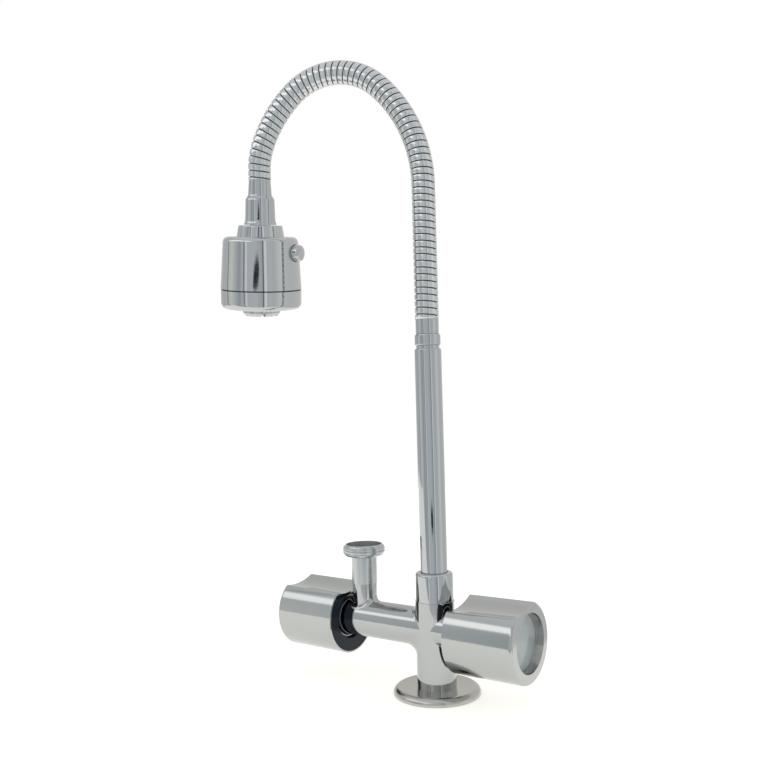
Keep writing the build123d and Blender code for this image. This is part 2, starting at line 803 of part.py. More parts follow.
# Core: holds the collar, the swivel stem and the selector's cross bore
with BuildPart() as head_core:
    core_end = core_flange_start + core_flange_thickness
    seal_groove_radius = core_flange_radius - core_seal_depth
    seal_start = core_flange_start + (core_flange_thickness - core_seal_width) / 2
    with BuildSketch(axial_section(head)):
        Polygon(
            (0, core_bore_end),
            (stem_bore_radius, core_bore_end),
            (stem_bore_radius, stem_ring_start + stem_ring_thickness + running_gap),
            (stem_ring_radius + running_gap, stem_ring_start + stem_ring_thickness + running_gap),
            (stem_ring_radius + running_gap, core_spigot_start),
            (core_spigot_radius, core_spigot_start),
            (core_spigot_radius, collar_end + shell_wall),
            (core_radius, collar_end + shell_wall),
            (core_radius, core_flange_start),
            (core_flange_radius, core_flange_start),
            (core_flange_radius, seal_start),
            (seal_groove_radius, seal_start),
            (seal_groove_radius, seal_start + core_seal_width),
            (core_flange_radius, seal_start + core_seal_width),
            (core_flange_radius, core_end),
            (0, core_end),
            align=None,
        )
    revolve(axis=axis_of(head))
    with BuildSketch(head.offset(core_bore_end)):
        Circle(core_passage_radius)
    extrude(amount=button_station - core_bore_end, mode=Mode.SUBTRACT)
    with BuildSketch(button_place.offset(core_radius)):
        Circle(button_stem_radius + bearing_gap)
    extrude(amount=-core_radius - button_stem_length / 2, mode=Mode.SUBTRACT)
    with BuildSketch(head.offset(button_station)):
        with Locations((core_outlet_offset, 0), (-core_outlet_offset, 0)):
            Circle(core_passage_radius)
    extrude(amount=core_end - button_station, mode=Mode.SUBTRACT)
save(head_core, "head_core")

with BuildPart() as head_seal:
    with BuildSketch(head.offset(seal_start)):
        Circle(shell_radius - shell_wall - fit_gap)
        Circle(seal_groove_radius, mode=Mode.SUBTRACT)
    extrude(amount=core_seal_width)
save(head_seal, "head_seal")

# Lower ring, screwed up into the shell behind a shadow line
with BuildPart() as head_ring:
    ring_start = shell_end + seam_width
    ring_bore_radius = ring_radius - ring_wall
    spigot_outer = shell_radius - shell_wall - fit_gap
    with BuildSketch(axial_section(head)):
        with BuildLine():
            spigot_side = Polyline(
                (ring_bore_radius - ring_wall, core_end),
                (spigot_outer, core_end),
                (spigot_outer, shell_end),
                (shell_radius - seam_depth, shell_end),
                (shell_radius - seam_depth, ring_start),
                (ring_radius, ring_start),
                (ring_radius, ring_end - ring_edge_round),
            )
            edge_round = RadiusArc(
                spigot_side @ 1, (ring_radius - ring_edge_round, ring_end), -ring_edge_round
            )
            Polyline(
                edge_round @ 1,
                (plate_radius - plate_lip_width, ring_end),
                (plate_radius - plate_lip_width, plate_rim_end),
                (plate_radius + fit_gap, plate_rim_end),
                (plate_radius + fit_gap, pad_start),
                (ring_bore_radius - ring_wall, pad_start),
                spigot_side @ 0,
            )
        make_face()
    revolve(axis=axis_of(head))
save(head_ring, "head_ring")

# Spray plate and the soft nozzle pad behind it
nozzle_places = [
    (ring * cos(2 * pi * index / count), ring * sin(2 * pi * index / count))
    for ring, count in zip(nozzle_ring_radii, nozzle_counts)
    for index in range(round(count))
]
with BuildPart() as spray_plate:
    with BuildSketch(axial_section(head)):
        Polygon(
            (plate_hole_radius, plate_start),
            (plate_radius, plate_start),
            (plate_radius, plate_rim_end),
            (plate_radius - plate_rim_width, plate_rim_end),
            (plate_hole_radius, plate_crown_end),
            align=None,
        )
    revolve(axis=axis_of(head))
    with BuildSketch(head.offset(plate_start)):
        with Locations(*nozzle_places):
            Circle(nozzle_hole_radius)
    extrude(amount=plate_crown_end - plate_start, mode=Mode.SUBTRACT)
save(spray_plate, "spray_plate")

with BuildPart() as nozzle_pad:
    with BuildSketch(head.offset(pad_start)):
        Circle(plate_radius)
        Circle(plate_hole_radius, mode=Mode.SUBTRACT)
    extrude(amount=plate_start - pad_start)
    with BuildSketch(head.offset(plate_start)):
        with Locations(*nozzle_places):
            Circle(nozzle_radius)
    extrude(amount=nozzle_tip - plate_start)
save(nozzle_pad, "nozzle_pad")

# Aerator housing with gripping notches, and the mesh inside it
with BuildPart() as aerator_housing:
    with BuildSketch(axial_section(head)):
        Polygon(
            (aerator_bore_radius, aerator_start),
            (aerator_radius, aerator_start),
            (aerator_radius, aerator_shoulder),
            (aerator_tip_radius, aerator_end),
            (aerator_bore_radius, aerator_end),
            align=None,
        )
    revolve(axis=axis_of(head))
    with BuildSketch(head.offset(aerator_end)):
        with PolarLocations(aerator_tip_radius, aerator_notches):
            notch_length = 2 * (aerator_tip_radius - aerator_bore_radius + aerator_notch_overlap)
            Rectangle(notch_length, aerator_notch_width)
    extrude(amount=-aerator_notch_depth, mode=Mode.SUBTRACT)
save(aerator_housing, "aerator_housing")

with BuildPart() as aerator_mesh:
    with BuildSketch(head.offset(mesh_start)):
        Circle(aerator_bore_radius - fit_gap)
        slot_count = int(2 * (aerator_bore_radius - mesh_rim_width) / mesh_slot_pitch)
        for index in range(slot_count):
            across = (index - (slot_count - 1) / 2) * mesh_slot_pitch
            slot_length = 2 * (sqrt(aerator_bore_radius**2 - across**2) - mesh_rim_width)
            with Locations((0, across)):
                Rectangle(slot_length, mesh_slot_width, mode=Mode.SUBTRACT)
    extrude(amount=mesh_thickness)
save(aerator_mesh, "aerator_mesh")

# Selector button, a domed plunger that slides into the core
with BuildPart() as selector_button:
    stem_tip = button_shoulder - button_stem_length
    with BuildSketch(axial_section(button_place)):
        with BuildLine():
            body_side = Polyline(
                (0, stem_tip),
                (button_stem_radius, stem_tip),
                (button_stem_radius, button_seal_reach),
                (button_stem_radius - button_seal_depth, button_seal_reach),
                (button_stem_radius - button_seal_depth, button_seal_reach + button_seal_width),
                (button_stem_radius, button_seal_reach + button_seal_width),
                (button_stem_radius, button_shoulder),
                (button_radius, button_shoulder),
                (button_radius, button_reach - button_dome),
            )
            dome = Spline(
                body_side @ 1, (0, button_reach), tangents=((0, 1), (-1, 0))
            )
            Line(dome @ 1, body_side @ 0)
        make_face()
    revolve(axis=axis_of(button_place))
save(selector_button, "selector_button")

with BuildPart() as selector_seal:
    with BuildSketch(button_place.offset(button_seal_reach)):
        Circle(button_stem_radius)
        Circle(button_stem_radius - button_seal_depth, mode=Mode.SUBTRACT)
    extrude(amount=button_seal_width)
save(selector_seal, "selector_seal")


def scooped_barrel(mouth, radius, scoop_growth, start, stop):
    """Round barrel along the knob's axis with a shallow hollow cut along its top."""
    with BuildPart() as barrel:
        with BuildSketch(mouth.offset(start)):
            Circle(radius)
        extrude(amount=stop - start)
        slant = (scoop_depth_closed_end - scoop_depth_open_end) / knob_length
        sections = []
        for distance in (start - cut_margin, stop + cut_margin):
            depth = scoop_depth_open_end + slant * distance - scoop_growth
            cutter_radius = scoop_radius + scoop_growth
            with BuildSketch(mouth.offset(distance)):
                with Locations((depth + cutter_radius, 0)):
                    Circle(cutter_radius)
        loft(ruled=True, mode=Mode.SUBTRACT)
    return barrel.part


# Headwork and knob, the same on both ends of the arm
for side, arm_end in arm_ends.items():
    mouth = knob_mouths[side]
    axis = axis_of(arm_end)
    section = axial_section(arm_end)
    flange_start = bonnet_seal_thickness
    hex_start = flange_start + bonnet_flange_thickness
    neck_start = hex_start + bonnet_hex_height
    bonnet_end = neck_start + bonnet_neck_length
    disc_chamber_start = -chamber_depth + disc_chamber_depth
    fixed_disc_start = -chamber_depth + seat_seal_thickness
    turn_disc_start = fixed_disc_start + disc_thickness + bearing_gap
    spindle_foot_start = turn_disc_start + disc_thickness
    spindle_foot_end = disc_chamber_start - running_gap
    cap_face = knob_length - recess_depth
    cap_back = cap_face - index_cap_thickness
    head_start = cap_back - screw_well_depth
    hub_end = head_start - hub_web_thickness
    spline_end = hub_end - knob_over_arm - running_gap

    with BuildPart() as bonnet:
        with BuildSketch(section):
            Polygon(
                (spindle_radius + bearing_gap, bonnet_end),
                (bonnet_neck_radius, bonnet_end),
                (bonnet_neck_radius, hex_start),
                (arm_radius, hex_start),
                (arm_radius, flange_start),
                (headwork_thread_radius, flange_start),
                (headwork_thread_radius, -headwork_thread_length),
                (bonnet_barrel_radius, -headwork_thread_length),
                (bonnet_barrel_radius, -chamber_depth),
                (disc_radius + bearing_gap, -chamber_depth),
                (disc_radius + bearing_gap, disc_chamber_start),
                (spindle_radius + bearing_gap, disc_chamber_start),
                align=None,
            )
        revolve(axis=axis)
        with BuildSketch(arm_end.offset(hex_start)):
            RegularPolygon(bonnet_flats / 2, side_count=6, major_radius=False)
            Circle(spindle_radius + bearing_gap, mode=Mode.SUBTRACT)
        extrude(amount=bonnet_hex_height)
        window_middle = disc_chamber_start - window_height / 2 - window_setback
        with BuildSketch(section):
            with Locations((0, window_middle)):
                Rectangle(2 * disc_radius * sin(pi / 4), window_height)
        extrude(amount=2 * bonnet_barrel_radius, both=True, mode=Mode.SUBTRACT)
    save(bonnet, f"{side}_bonnet")

    with BuildPart() as bonnet_seal:
        with BuildSketch(arm_end):
            Circle(arm_radius - fit_gap)
            Circle(headwork_thread_radius + fit_gap, mode=Mode.SUBTRACT)
        extrude(amount=bonnet_seal_thickness)
    save(bonnet_seal, f"{side}_bonnet_seal")

    with BuildPart() as seat_seal:
        with BuildSketch(arm_end.offset(-chamber_depth)):
            Circle(disc_radius)
            Circle(seat_seal_bore, mode=Mode.SUBTRACT)
        extrude(amount=seat_seal_thickness)
    save(seat_seal, f"{side}_seat_seal")

    with BuildPart() as fixed_disc:
        with BuildSketch(arm_end.offset(fixed_disc_start)):
            Circle(disc_radius)
            with Locations((0, port_offset), (0, -port_offset)):
                Circle(port_width / 2, mode=Mode.SUBTRACT)
        extrude(amount=disc_thickness)
    save(fixed_disc, f"{side}_fixed_disc")

    # Closed at rest: the ports of this disc stand a quarter turn from the fixed ones
    with BuildPart() as turning_disc:
        with BuildSketch(arm_end.offset(turn_disc_start)):
            Circle(disc_radius)
            with Locations((port_offset, 0), (-port_offset, 0)):
                Circle(port_width / 2, mode=Mode.SUBTRACT)
        extrude(amount=disc_thickness)
        with BuildSketch(arm_end.offset(turn_disc_start + disc_thickness)):
            Rectangle(spindle_dog_width + 2 * fit_gap, 2 * disc_radius)
        extrude(amount=-spindle_dog_height, mode=Mode.SUBTRACT)
    save(turning_disc, f"{side}_turning_disc")

    with BuildPart() as spindle:
        with BuildSketch(arm_end.offset(spindle_foot_start)):
            Circle(disc_radius - fit_gap)
        extrude(amount=spindle_foot_end - spindle_foot_start)
        with BuildSketch(arm_end.offset(spindle_foot_start)):
            Rectangle(spindle_dog_width, 2 * (disc_radius - running_gap))
        extrude(amount=-spindle_dog_height + fit_gap)
        with BuildSketch(arm_end.offset(spindle_foot_start)):
            Circle(spindle_radius)
        extrude(amount=bonnet_end + running_gap - spindle_foot_start)
        with BuildSketch(arm_end.offset(bonnet_end + running_gap)):
            Circle(spindle_spline_radius)
            with PolarLocations(spindle_spline_radius, spline_teeth):
                Circle(spline_depth, mode=Mode.SUBTRACT)
        extrude(amount=spline_end - bonnet_end - running_gap)
        groove_start = hex_start + spindle_seal_setback
        with BuildSketch(arm_end.offset(groove_start)):
            Circle(spindle_radius + cut_margin)
            Circle(spindle_radius - spindle_seal_depth, mode=Mode.SUBTRACT)
        extrude(amount=spindle_seal_width, mode=Mode.SUBTRACT)
        with BuildSketch(arm_end.offset(spline_end)):
            Circle(knob_screw_radius + bearing_gap)
        extrude(amount=-knob_screw_length - running_gap, mode=Mode.SUBTRACT)
    save(spindle, f"{side}_spindle")

    with BuildPart() as spindle_seal:
        with BuildSketch(arm_end.offset(groove_start)):
            Circle(spindle_radius)
            Circle(spindle_radius - spindle_seal_depth, mode=Mode.SUBTRACT)
        extrude(amount=spindle_seal_width)
    save(spindle_seal, f"{side}_spindle_seal")

    # Knob shell: the scooped barrel, rounded at its closed end and sunk for the cap
    with BuildPart() as knob:
        add(scooped_barrel(mouth, knob_radius, 0, 0, knob_length))
        closed_face = knob.faces().sort_by(axis_of(mouth))[-1]
        ridges = knob.edges().filter_by(
            lambda edge: abs((edge @ 1 - edge @ 0).dot(mouth.z_dir)) > knob_length / 2
        )
        fillet(closed_face.edges() + ridges, knob_edge_round)
        add(scooped_barrel(mouth, knob_radius - knob_wall, knob_wall, 0, cap_back), mode=Mode.SUBTRACT)
        with BuildSketch(axial_section(mouth)):
            Polygon(
                (0, cap_back),
                (index_cap_radius + fit_gap, cap_back),
                (index_cap_radius + fit_gap, cap_face),
                (recess_radius, knob_length),
                (0, knob_length),
                align=None,
            )
        revolve(axis=axis, mode=Mode.SUBTRACT)
    save(knob, f"{side}_knob")

    # Black insert: fills the shell, clears the arm and grips the spindle
    hub_start = knob_over_arm + bonnet_end + running_gap
    with BuildPart() as knob_insert:
        add(
            scooped_barrel(
                mouth, knob_radius - knob_wall - fit_gap, knob_wall + fit_gap, insert_setback, cap_back
            )
        )
        with BuildSketch(axial_section(mouth)):
            Polygon(
                (0, 0),
                (insert_mouth_radius, 0),
                (insert_mouth_radius, insert_mouth_depth),
                (arm_radius + running_gap, insert_mouth_depth),
                (arm_radius + running_gap, hub_start),
                (spindle_spline_radius + fit_gap, hub_start),
                (spindle_spline_radius + fit_gap, hub_end),
                (knob_screw_radius + fit_gap, hub_end),
                (knob_screw_radius + fit_gap, hub_end + hub_web_thickness),
                (screw_well_radius, hub_end + hub_web_thickness),
                (screw_well_radius, cap_back),
                (0, cap_back),
                align=None,
            )
        revolve(axis=axis_of(mouth), mode=Mode.SUBTRACT)
    save(knob_insert, f"{side}_knob_insert")

    with BuildPart() as guide_ring:
        with BuildSketch(mouth.offset(insert_mouth_depth)):
            Circle(guide_ring_radius)
            Circle(guide_ring_radius - guide_ring_width, mode=Mode.SUBTRACT)
        extrude(amount=-guide_ring_height)
    save(guide_ring, f"{side}_guide_ring")

    with BuildPart() as knob_screw:
        with BuildSketch(mouth.offset(head_start)):
            Circle(knob_screw_head_radius)
        extrude(amount=knob_screw_head_height)
        with BuildSketch(mouth.offset(head_start)):
            Circle(knob_screw_radius)
        extrude(amount=-knob_screw_length)
        with BuildSketch(mouth.offset(head_start + knob_screw_head_height)):
            Rectangle(knob_screw_head_radius, screw_slot_width)
            Rectangle(screw_slot_width, knob_screw_head_radius)
        extrude(amount=-screw_slot_depth, mode=Mode.SUBTRACT)
    save(knob_screw, f"{side}_knob_screw")

    with BuildPart() as index_cap:
        with BuildSketch(mouth.offset(cap_back)):
            Circle(index_cap_radius)
        extrude(amount=index_cap_thickness)
        with BuildSketch(mouth.offset(cap_back)):
            Circle(index_cap_stem_radius)
        extrude(amount=-index_cap_stem_length)
    save(index_cap, f"{side}_index_cap")

print(f"head axis {tuple(round(v, 4) for v in head_down)}")
print(f"hose end {tuple(round(v, 2) for v in hose_end)}")
print(f"button way {tuple(round(v, 4) for v in button_way)}")
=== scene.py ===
# %% [markdown]
# # A chromed kitchen tap
# The solid model of this tap already has the right shapes and sizes. Here each piece gets a surface
# like the real one's, and the bendable neck, the inner hose, the cut threads, a black ring that paints
# the shade in the head's groove and the woven screen are made in full. Everything is in metres, and the
# threads, the ring and the screen ride on the body that carries them.

# %% Load the solid model
import math
import bmesh
import bpy
from mathutils import Matrix, Vector


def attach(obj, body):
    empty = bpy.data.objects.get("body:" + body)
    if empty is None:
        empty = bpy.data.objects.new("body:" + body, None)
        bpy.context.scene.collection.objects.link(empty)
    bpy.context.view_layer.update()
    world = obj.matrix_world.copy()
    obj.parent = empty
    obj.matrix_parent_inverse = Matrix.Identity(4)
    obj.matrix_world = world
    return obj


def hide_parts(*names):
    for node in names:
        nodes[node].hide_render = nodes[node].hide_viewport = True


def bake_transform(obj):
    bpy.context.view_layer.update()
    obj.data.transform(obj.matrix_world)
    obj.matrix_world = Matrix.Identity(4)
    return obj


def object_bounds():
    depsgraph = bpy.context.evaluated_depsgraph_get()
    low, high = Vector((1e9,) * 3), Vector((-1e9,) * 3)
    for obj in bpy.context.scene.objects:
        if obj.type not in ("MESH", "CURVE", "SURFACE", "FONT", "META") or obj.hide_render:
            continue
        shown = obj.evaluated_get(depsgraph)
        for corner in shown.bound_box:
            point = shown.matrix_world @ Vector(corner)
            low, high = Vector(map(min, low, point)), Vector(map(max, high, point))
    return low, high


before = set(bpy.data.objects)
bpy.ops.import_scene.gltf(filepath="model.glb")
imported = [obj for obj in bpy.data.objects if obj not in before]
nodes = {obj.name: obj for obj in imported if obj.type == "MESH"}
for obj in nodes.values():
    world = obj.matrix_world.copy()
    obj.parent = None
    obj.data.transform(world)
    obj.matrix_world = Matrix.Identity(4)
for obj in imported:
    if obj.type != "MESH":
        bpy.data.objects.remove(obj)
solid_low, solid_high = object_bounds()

solid_height = (solid_high - solid_low).z
print(f"{len(nodes)} solid pieces, {solid_height * 1000:.0f} mm from the shank's end to the arch")

# %% [markdown]
# ## The camera
# The picture was taken from the right of the arm, almost level with the middle of the riser, with a
# normal lens. The camera stands 51 cm from the riser, because from that distance the near knob
# looks as much larger than the far one as it should.

# %% Camera
FRAME_SIDE = 768  # pixels
FOCAL_LENGTH = 855.5  # pixels
SENSOR_WIDTH = 36.0  # millimetres
CAMERA_PLACE = Vector((0.27808, -0.42813, 0.17309))
CAMERA_HEADING = math.radians(36.0)
CAMERA_PITCH = math.radians(-1.183)
CAMERA_ROLL = math.radians(-1.537)


def aim_camera():
    """A camera that looks along its heading, tipped by its pitch and rolled about its own axis."""
    back = Vector((
        math.sin(CAMERA_HEADING) * math.cos(CAMERA_PITCH),
        -math.cos(CAMERA_HEADING) * math.cos(CAMERA_PITCH),
        math.sin(CAMERA_PITCH),
    ))
    level_right = Vector((math.cos(CAMERA_HEADING), math.sin(CAMERA_HEADING), 0))
    level_up = back.cross(level_right)
    right = math.cos(CAMERA_ROLL) * level_right + math.sin(CAMERA_ROLL) * level_up
    up = math.cos(CAMERA_ROLL) * level_up - math.sin(CAMERA_ROLL) * level_right
    data = bpy.data.cameras.new("studio_camera")
    data.sensor_width = SENSOR_WIDTH
    data.lens = FOCAL_LENGTH / FRAME_SIDE * data.sensor_width
    camera = bpy.data.objects.new("studio_camera", data)
    bpy.context.scene.collection.objects.link(camera)
    turned = Matrix((right, up, back)).transposed().to_4x4()
    camera.matrix_world = Matrix.Translation(CAMERA_PLACE) @ turned
    bpy.context.scene.camera = camera
    return camera


camera = aim_camera()
print(f"lens {camera.data.lens:.1f} mm")

# %% [markdown]
# ## Colours and shader nodes
# Colours are written as they look on a screen, as hex values, and turned into the linear light that
# the shader works with. Small functions add a node, set it and link it, do one sum with a Math node,
# and start a material.

# %% Colour and node helpers
def linear(hex_colour):
    """A screen colour such as '#C4C7C8' as linear red, green, blue and alpha."""
    channels = [int(hex_colour[i:i + 2], 16) / 255 for i in (1, 3, 5)]
    return (*[c / 12.92 if c <= 0.04045 else ((c + 0.055) / 1.055) ** 2.4 for c in channels], 1.0)


def add_node(tree, kind, links=None, settings=None, **values):
    """Adds a node. Settings are its properties, values its inputs, links the sockets that feed it."""
    node = tree.nodes.new(kind)
    for name, value in (settings or {}).items():
        setattr(node, name, value)
    for name, value in values.items():
        node.inputs[name.replace("_", " ")].default_value = value
    for name, source in (links or {}).items():
        tree.links.new(source, node.inputs[name])
    return node


def new_material(name, **values):
    """A material with one Principled shader; the values are its inputs."""
    material = bpy.data.materials.new(name)
    material.use_nodes = True
    shader = material.node_tree.nodes["Principled BSDF"]
    for socket, value in values.items():
        shader.inputs[socket.replace("_", " ")].default_value = value
    return material, material.node_tree, shader


def math_node(tree, operation, a, b=None):
    """One Math node; each of a and b is a socket or a number."""
    node = add_node(tree, "ShaderNodeMath", settings={"operation": operation})
    for index, value in enumerate((a, b)):
        if isinstance(value, (int, float)):
            node.inputs[index].default_value = value
        elif value is not None:
            tree.links.new(value, node.inputs[index])
    return node.outputs[0]


def object_points(tree):
    """The point on the piece, in metres, by which all patterns are laid out."""
    return add_node(tree, "ShaderNodeTexCoord").outputs["Object"]


def per_metre(millimetres):
    """Texture scale at which one feature is that many millimetres across."""
    return 1000 / millimetres


# %% [markdown]
# ## Polished chrome
# Most of the tap is brass or hard plastic under a thin layer of nickel and chromium. Chromium is a
# pale, slightly cool grey, and it has no grain of its own. What the eye reads is the mirror, and
# three small things that break it: the faint waves left by buffing, a haze of cleaning marks, and a
# roughness that is never quite even. The waves are a few millimetres long on castings, and longer
# and shallower on drawn tube. The base flange is plated over a pressing that was left satin.

# %% Chrome finishes
def uneven_mirror(name, colour, roughness, haze, wave_length, wave_depth, marks):
    """A bright metal with shallow waves and duller marks. All lengths are in millimetres."""
    mark_length, mark_detail, mark_from, mark_to = marks
    material, tree, shader = new_material(name, Base_Color=linear(colour), Metallic=1.0)
    points = object_points(tree)
    waves = add_node(tree, "ShaderNodeTexNoise", {"Vector": points},
                     Scale=per_metre(wave_length), Detail=1.0)
    dull = add_node(tree, "ShaderNodeTexNoise", {"Vector": points},
                    Scale=per_metre(mark_length), Detail=mark_detail)
    uneven = add_node(tree, "ShaderNodeMapRange", {"Value": dull.outputs["Fac"]},
                      From_Min=mark_from, From_Max=mark_to, To_Min=roughness, To_Max=roughness + haze)
    bent = add_node(tree, "ShaderNodeBump", {"Height": waves.outputs["Fac"]},
                    Strength=1.0, Distance=wave_depth / 1000)
    tree.links.new(uneven.outputs["Result"], shader.inputs["Roughness"])
    tree.links.new(bent.outputs["Normal"], shader.inputs["Normal"])
    return material


# Length in millimetres, detail, and the levels of the noise at which the marks begin and are full.
CLEANING_MARKS = (1.7, 4.0, 0.42, 0.72)


def chrome(name, colour, roughness, haze, wave_length, wave_depth):
    """Nickel-chrome plating with the waves of its buffing and a haze of cleaning marks."""
    return uneven_mirror(name, colour, roughness, haze, wave_length, wave_depth, CLEANING_MARKS)


cast_chrome = chrome("chrome_on_buffed_casting", "#B4B6B6",
                     roughness=0.06, haze=0.04, wave_length=9.0, wave_depth=0.022)
tube_chrome = chrome("chrome_on_drawn_tube", "#B8BBBD",
                     roughness=0.05, haze=0.02, wave_length=22.0, wave_depth=0.02)
knob_chrome = chrome("chrome_on_pressed_knob", "#B7B9B8",
                     roughness=0.11, haze=0.03, wave_length=12.0, wave_depth=0.02)
head_chrome = chrome("chrome_on_moulded_ABS", "#BEC0C1",
                     roughness=0.05, haze=0.015, wave_length=14.0, wave_depth=0.024)
flange_plate = chrome("satin_plate_on_pressed_flange", "#BBB9B4",
                      roughness=0.2, haze=0.02, wave_length=8.0, wave_depth=0.02)
print("chrome of casting, tube, knob, head and flange")

# %% [markdown]
# The side outlet is chromed over a cut thread, and that thread keeps its turning marks, so it looks
# duller than the rest. The marks are rings about the piece's upright axis, 0.25 to 0.3 mm apart. Bare
# brass and steel pieces have them too.

# %% Metal off the lathe
PATCH_LENGTH = 3.0  # millimetres


def turned(name, colour, roughness, ring_spacing, ring_depth):
    """Plated or bare metal with rings left by the turning tool, stacked along Z. In millimetres."""
    material, tree, shader = new_material(name, Base_Color=linear(colour), Metallic=1.0)
    points = object_points(tree)
    height = add_node(tree, "ShaderNodeSeparateXYZ", {"Vector": points}).outputs["Z"]
    rings = math_node(tree, "SINE", math_node(
        tree, "MULTIPLY", height, per_metre(ring_spacing) * 2 * math.pi))
    cut = add_node(tree, "ShaderNodeBump", {"Height": rings}, Strength=1.0, Distance=ring_depth / 1000)
    wander = add_node(tree, "ShaderNodeTexNoise", {"Vector": points},
                      Scale=per_metre(PATCH_LENGTH), Detail=3.0)
    patchy = add_node(tree, "ShaderNodeMapRange", {"Value": wander.outputs["Fac"]},
                      From_Min=0.3, From_Max=0.7, To_Min=roughness - 0.05, To_Max=roughness + 0.08)
    tree.links.new(patchy.outputs["Result"], shader.inputs["Roughness"])
    tree.links.new(cut.outputs["Normal"], shader.inputs["Normal"])
    return material


thread_chrome = turned("chrome_on_turned_thread", "#BBBEBF",
                       roughness=0.14, ring_spacing=0.25, ring_depth=0.004)
bore_nickel = turned("dull_nickel_in_the_bore", "#B2B5B6",
                     roughness=0.5, ring_spacing=0.3, ring_depth=0.006)
turned_brass = turned("turned_brass", "#C9A35A",
                      roughness=0.24, ring_spacing=0.3, ring_depth=0.008)
turned_steel = turned("turned_stainless_steel", "#B4B6B7",
                      roughness=0.28, ring_spacing=0.3, ring_depth=0.008)
print("turned thread, bore, brass and steel")

# %% [markdown]
# ## Bright steel strip
# The neck is wound from thin stainless strip, rolled between polished rolls, so it is nearly a mirror.
# What shows that it is strip is that each turn mirrors a little differently: the strip is never laid
# quite flat, and it dishes by a few hundredths of a millimetre. The hooked edge under the gap keeps a
# duller rolling finish, and its much darker colour is painted shade for the shadow that lies in the gap.

# %% Rolled steel strip
ROLLING_SMEARS = (2.4, 3.0, 0.4, 0.7)  # laid out as CLEANING_MARKS
strip_steel = uneven_mirror(
    "bright_rolled_stainless_strip", "#CFD1D2",
    roughness=0.1, haze=0.08, wave_length=4.0, wave_depth=0.04, marks=ROLLING_SMEARS)
# Painted shade: the hook's dark colour stands in for the shadow that lies in the gap between turns.
hook_steel_painted_shade = uneven_mirror(
    "dull_rolled_strip_edge", "#6A6D6F",
    roughness=0.45, haze=0.15, wave_length=4.0, wave_depth=0.02, marks=ROLLING_SMEARS)
print("strip and its hooked edge")

# %% [markdown]
# ## Plastics, ceramic and rubber
# The inserts in the knobs are glossy black ABS, straight from a polished mould. On the real ones the
# gloss is weak and the black bluish, so their IOR is set lower than that of plain ABS. The cap at the
# end of each knob is a frosted grey disc. Seals are matt black rubber, the nozzles soft grey silicone,
# and the valve discs dense white alumina. Moulded parts get a faint unevenness, because no moulding
# is optically flat.

# %% Moulded finishes
CLOUD_LENGTH = 6.0  # millimetres


def moulded(name, colour, roughness, ior, grain, grain_depth, shade=0.08, **values):
    """A moulded non-metal, a little uneven in shade, gloss and height. Grain in millimetres."""
    material, tree, shader = new_material(name, IOR=ior, **values)
    points = object_points(tree)
    cloud = add_node(tree, "ShaderNodeTexNoise", {"Vector": points},
                     Scale=per_metre(CLOUD_LENGTH), Detail=3.0).outputs["Fac"]
    skin = add_node(tree, "ShaderNodeTexNoise", {"Vector": points},
                    Scale=per_metre(grain), Detail=2.0).outputs["Fac"]
    tint = add_node(tree, "ShaderNodeMix", {"Factor": cloud}, {"data_type": "RGBA"})
    base = linear(colour)
    tint.inputs["A"].default_value = (*[c * (1 - shade) for c in base[:3]], 1.0)
    tint.inputs["B"].default_value = (*[min(1.0, c * (1 + shade)) for c in base[:3]], 1.0)
    uneven = add_node(tree, "ShaderNodeMapRange", {"Value": cloud},
                      From_Min=0.3, From_Max=0.7, To_Min=roughness * 0.9, To_Max=roughness * 1.15)
    bump = add_node(tree, "ShaderNodeBump", {"Height": skin}, Strength=1.0, Distance=grain_depth / 1000)
    tree.links.new(tint.outputs["Result"], shader.inputs["Base Color"])
    tree.links.new(uneven.outputs["Result"], shader.inputs["Roughness"])
    tree.links.new(bump.outputs["Normal"], shader.inputs["Normal"])
    return material


black_abs = moulded("glossy_black_ABS", "#0E1A28",
                    roughness=0.2, ior=1.3, grain=8.0, grain_depth=0.02)
frosted_disc = moulded("frosted_grey_polycarbonate", "#9BA2A4",
                       roughness=0.34, ior=1.58, grain=0.5, grain_depth=0.006, shade=0.13,
                       Coat_Weight=0.7, Coat_Roughness=0.1)
white_acetal = moulded("white_acetal", "#DEDED9",
                       roughness=0.4, ior=1.48, grain=0.8, grain_depth=0.004)
alumina = moulded("lapped_alumina", "#E6E3DB",
                  roughness=0.3, ior=1.76, grain=0.4, grain_depth=0.002)
silicone = moulded("grey_silicone_rubber", "#5A5E61",
                   roughness=0.5, ior=1.41, grain=0.5, grain_depth=0.01)
# The same black rubber colours the ring that paints the shade in the spray head's groove.
seal_and_groove_shade_rubber = moulded("black_EPDM_rubber", "#1B1B1C",
                      roughness=0.6, ior=1.5, grain=0.35, grain_depth=0.012)
liner_rubber = moulded("black_inner_hose_rubber", "#242425",
                       roughness=0.55, ior=1.5, grain=0.5, grain_depth=0.012)
print("black ABS, frosted disc, acetal, alumina, silicone and two rubbers")

# %% [markdown]
# ## Which piece has which finish
# Every solid piece comes with the name of its material slot. That name picks the finish, and the
# pieces whose slot is plain chrome, but which aren't cast, get the chrome of their own process.

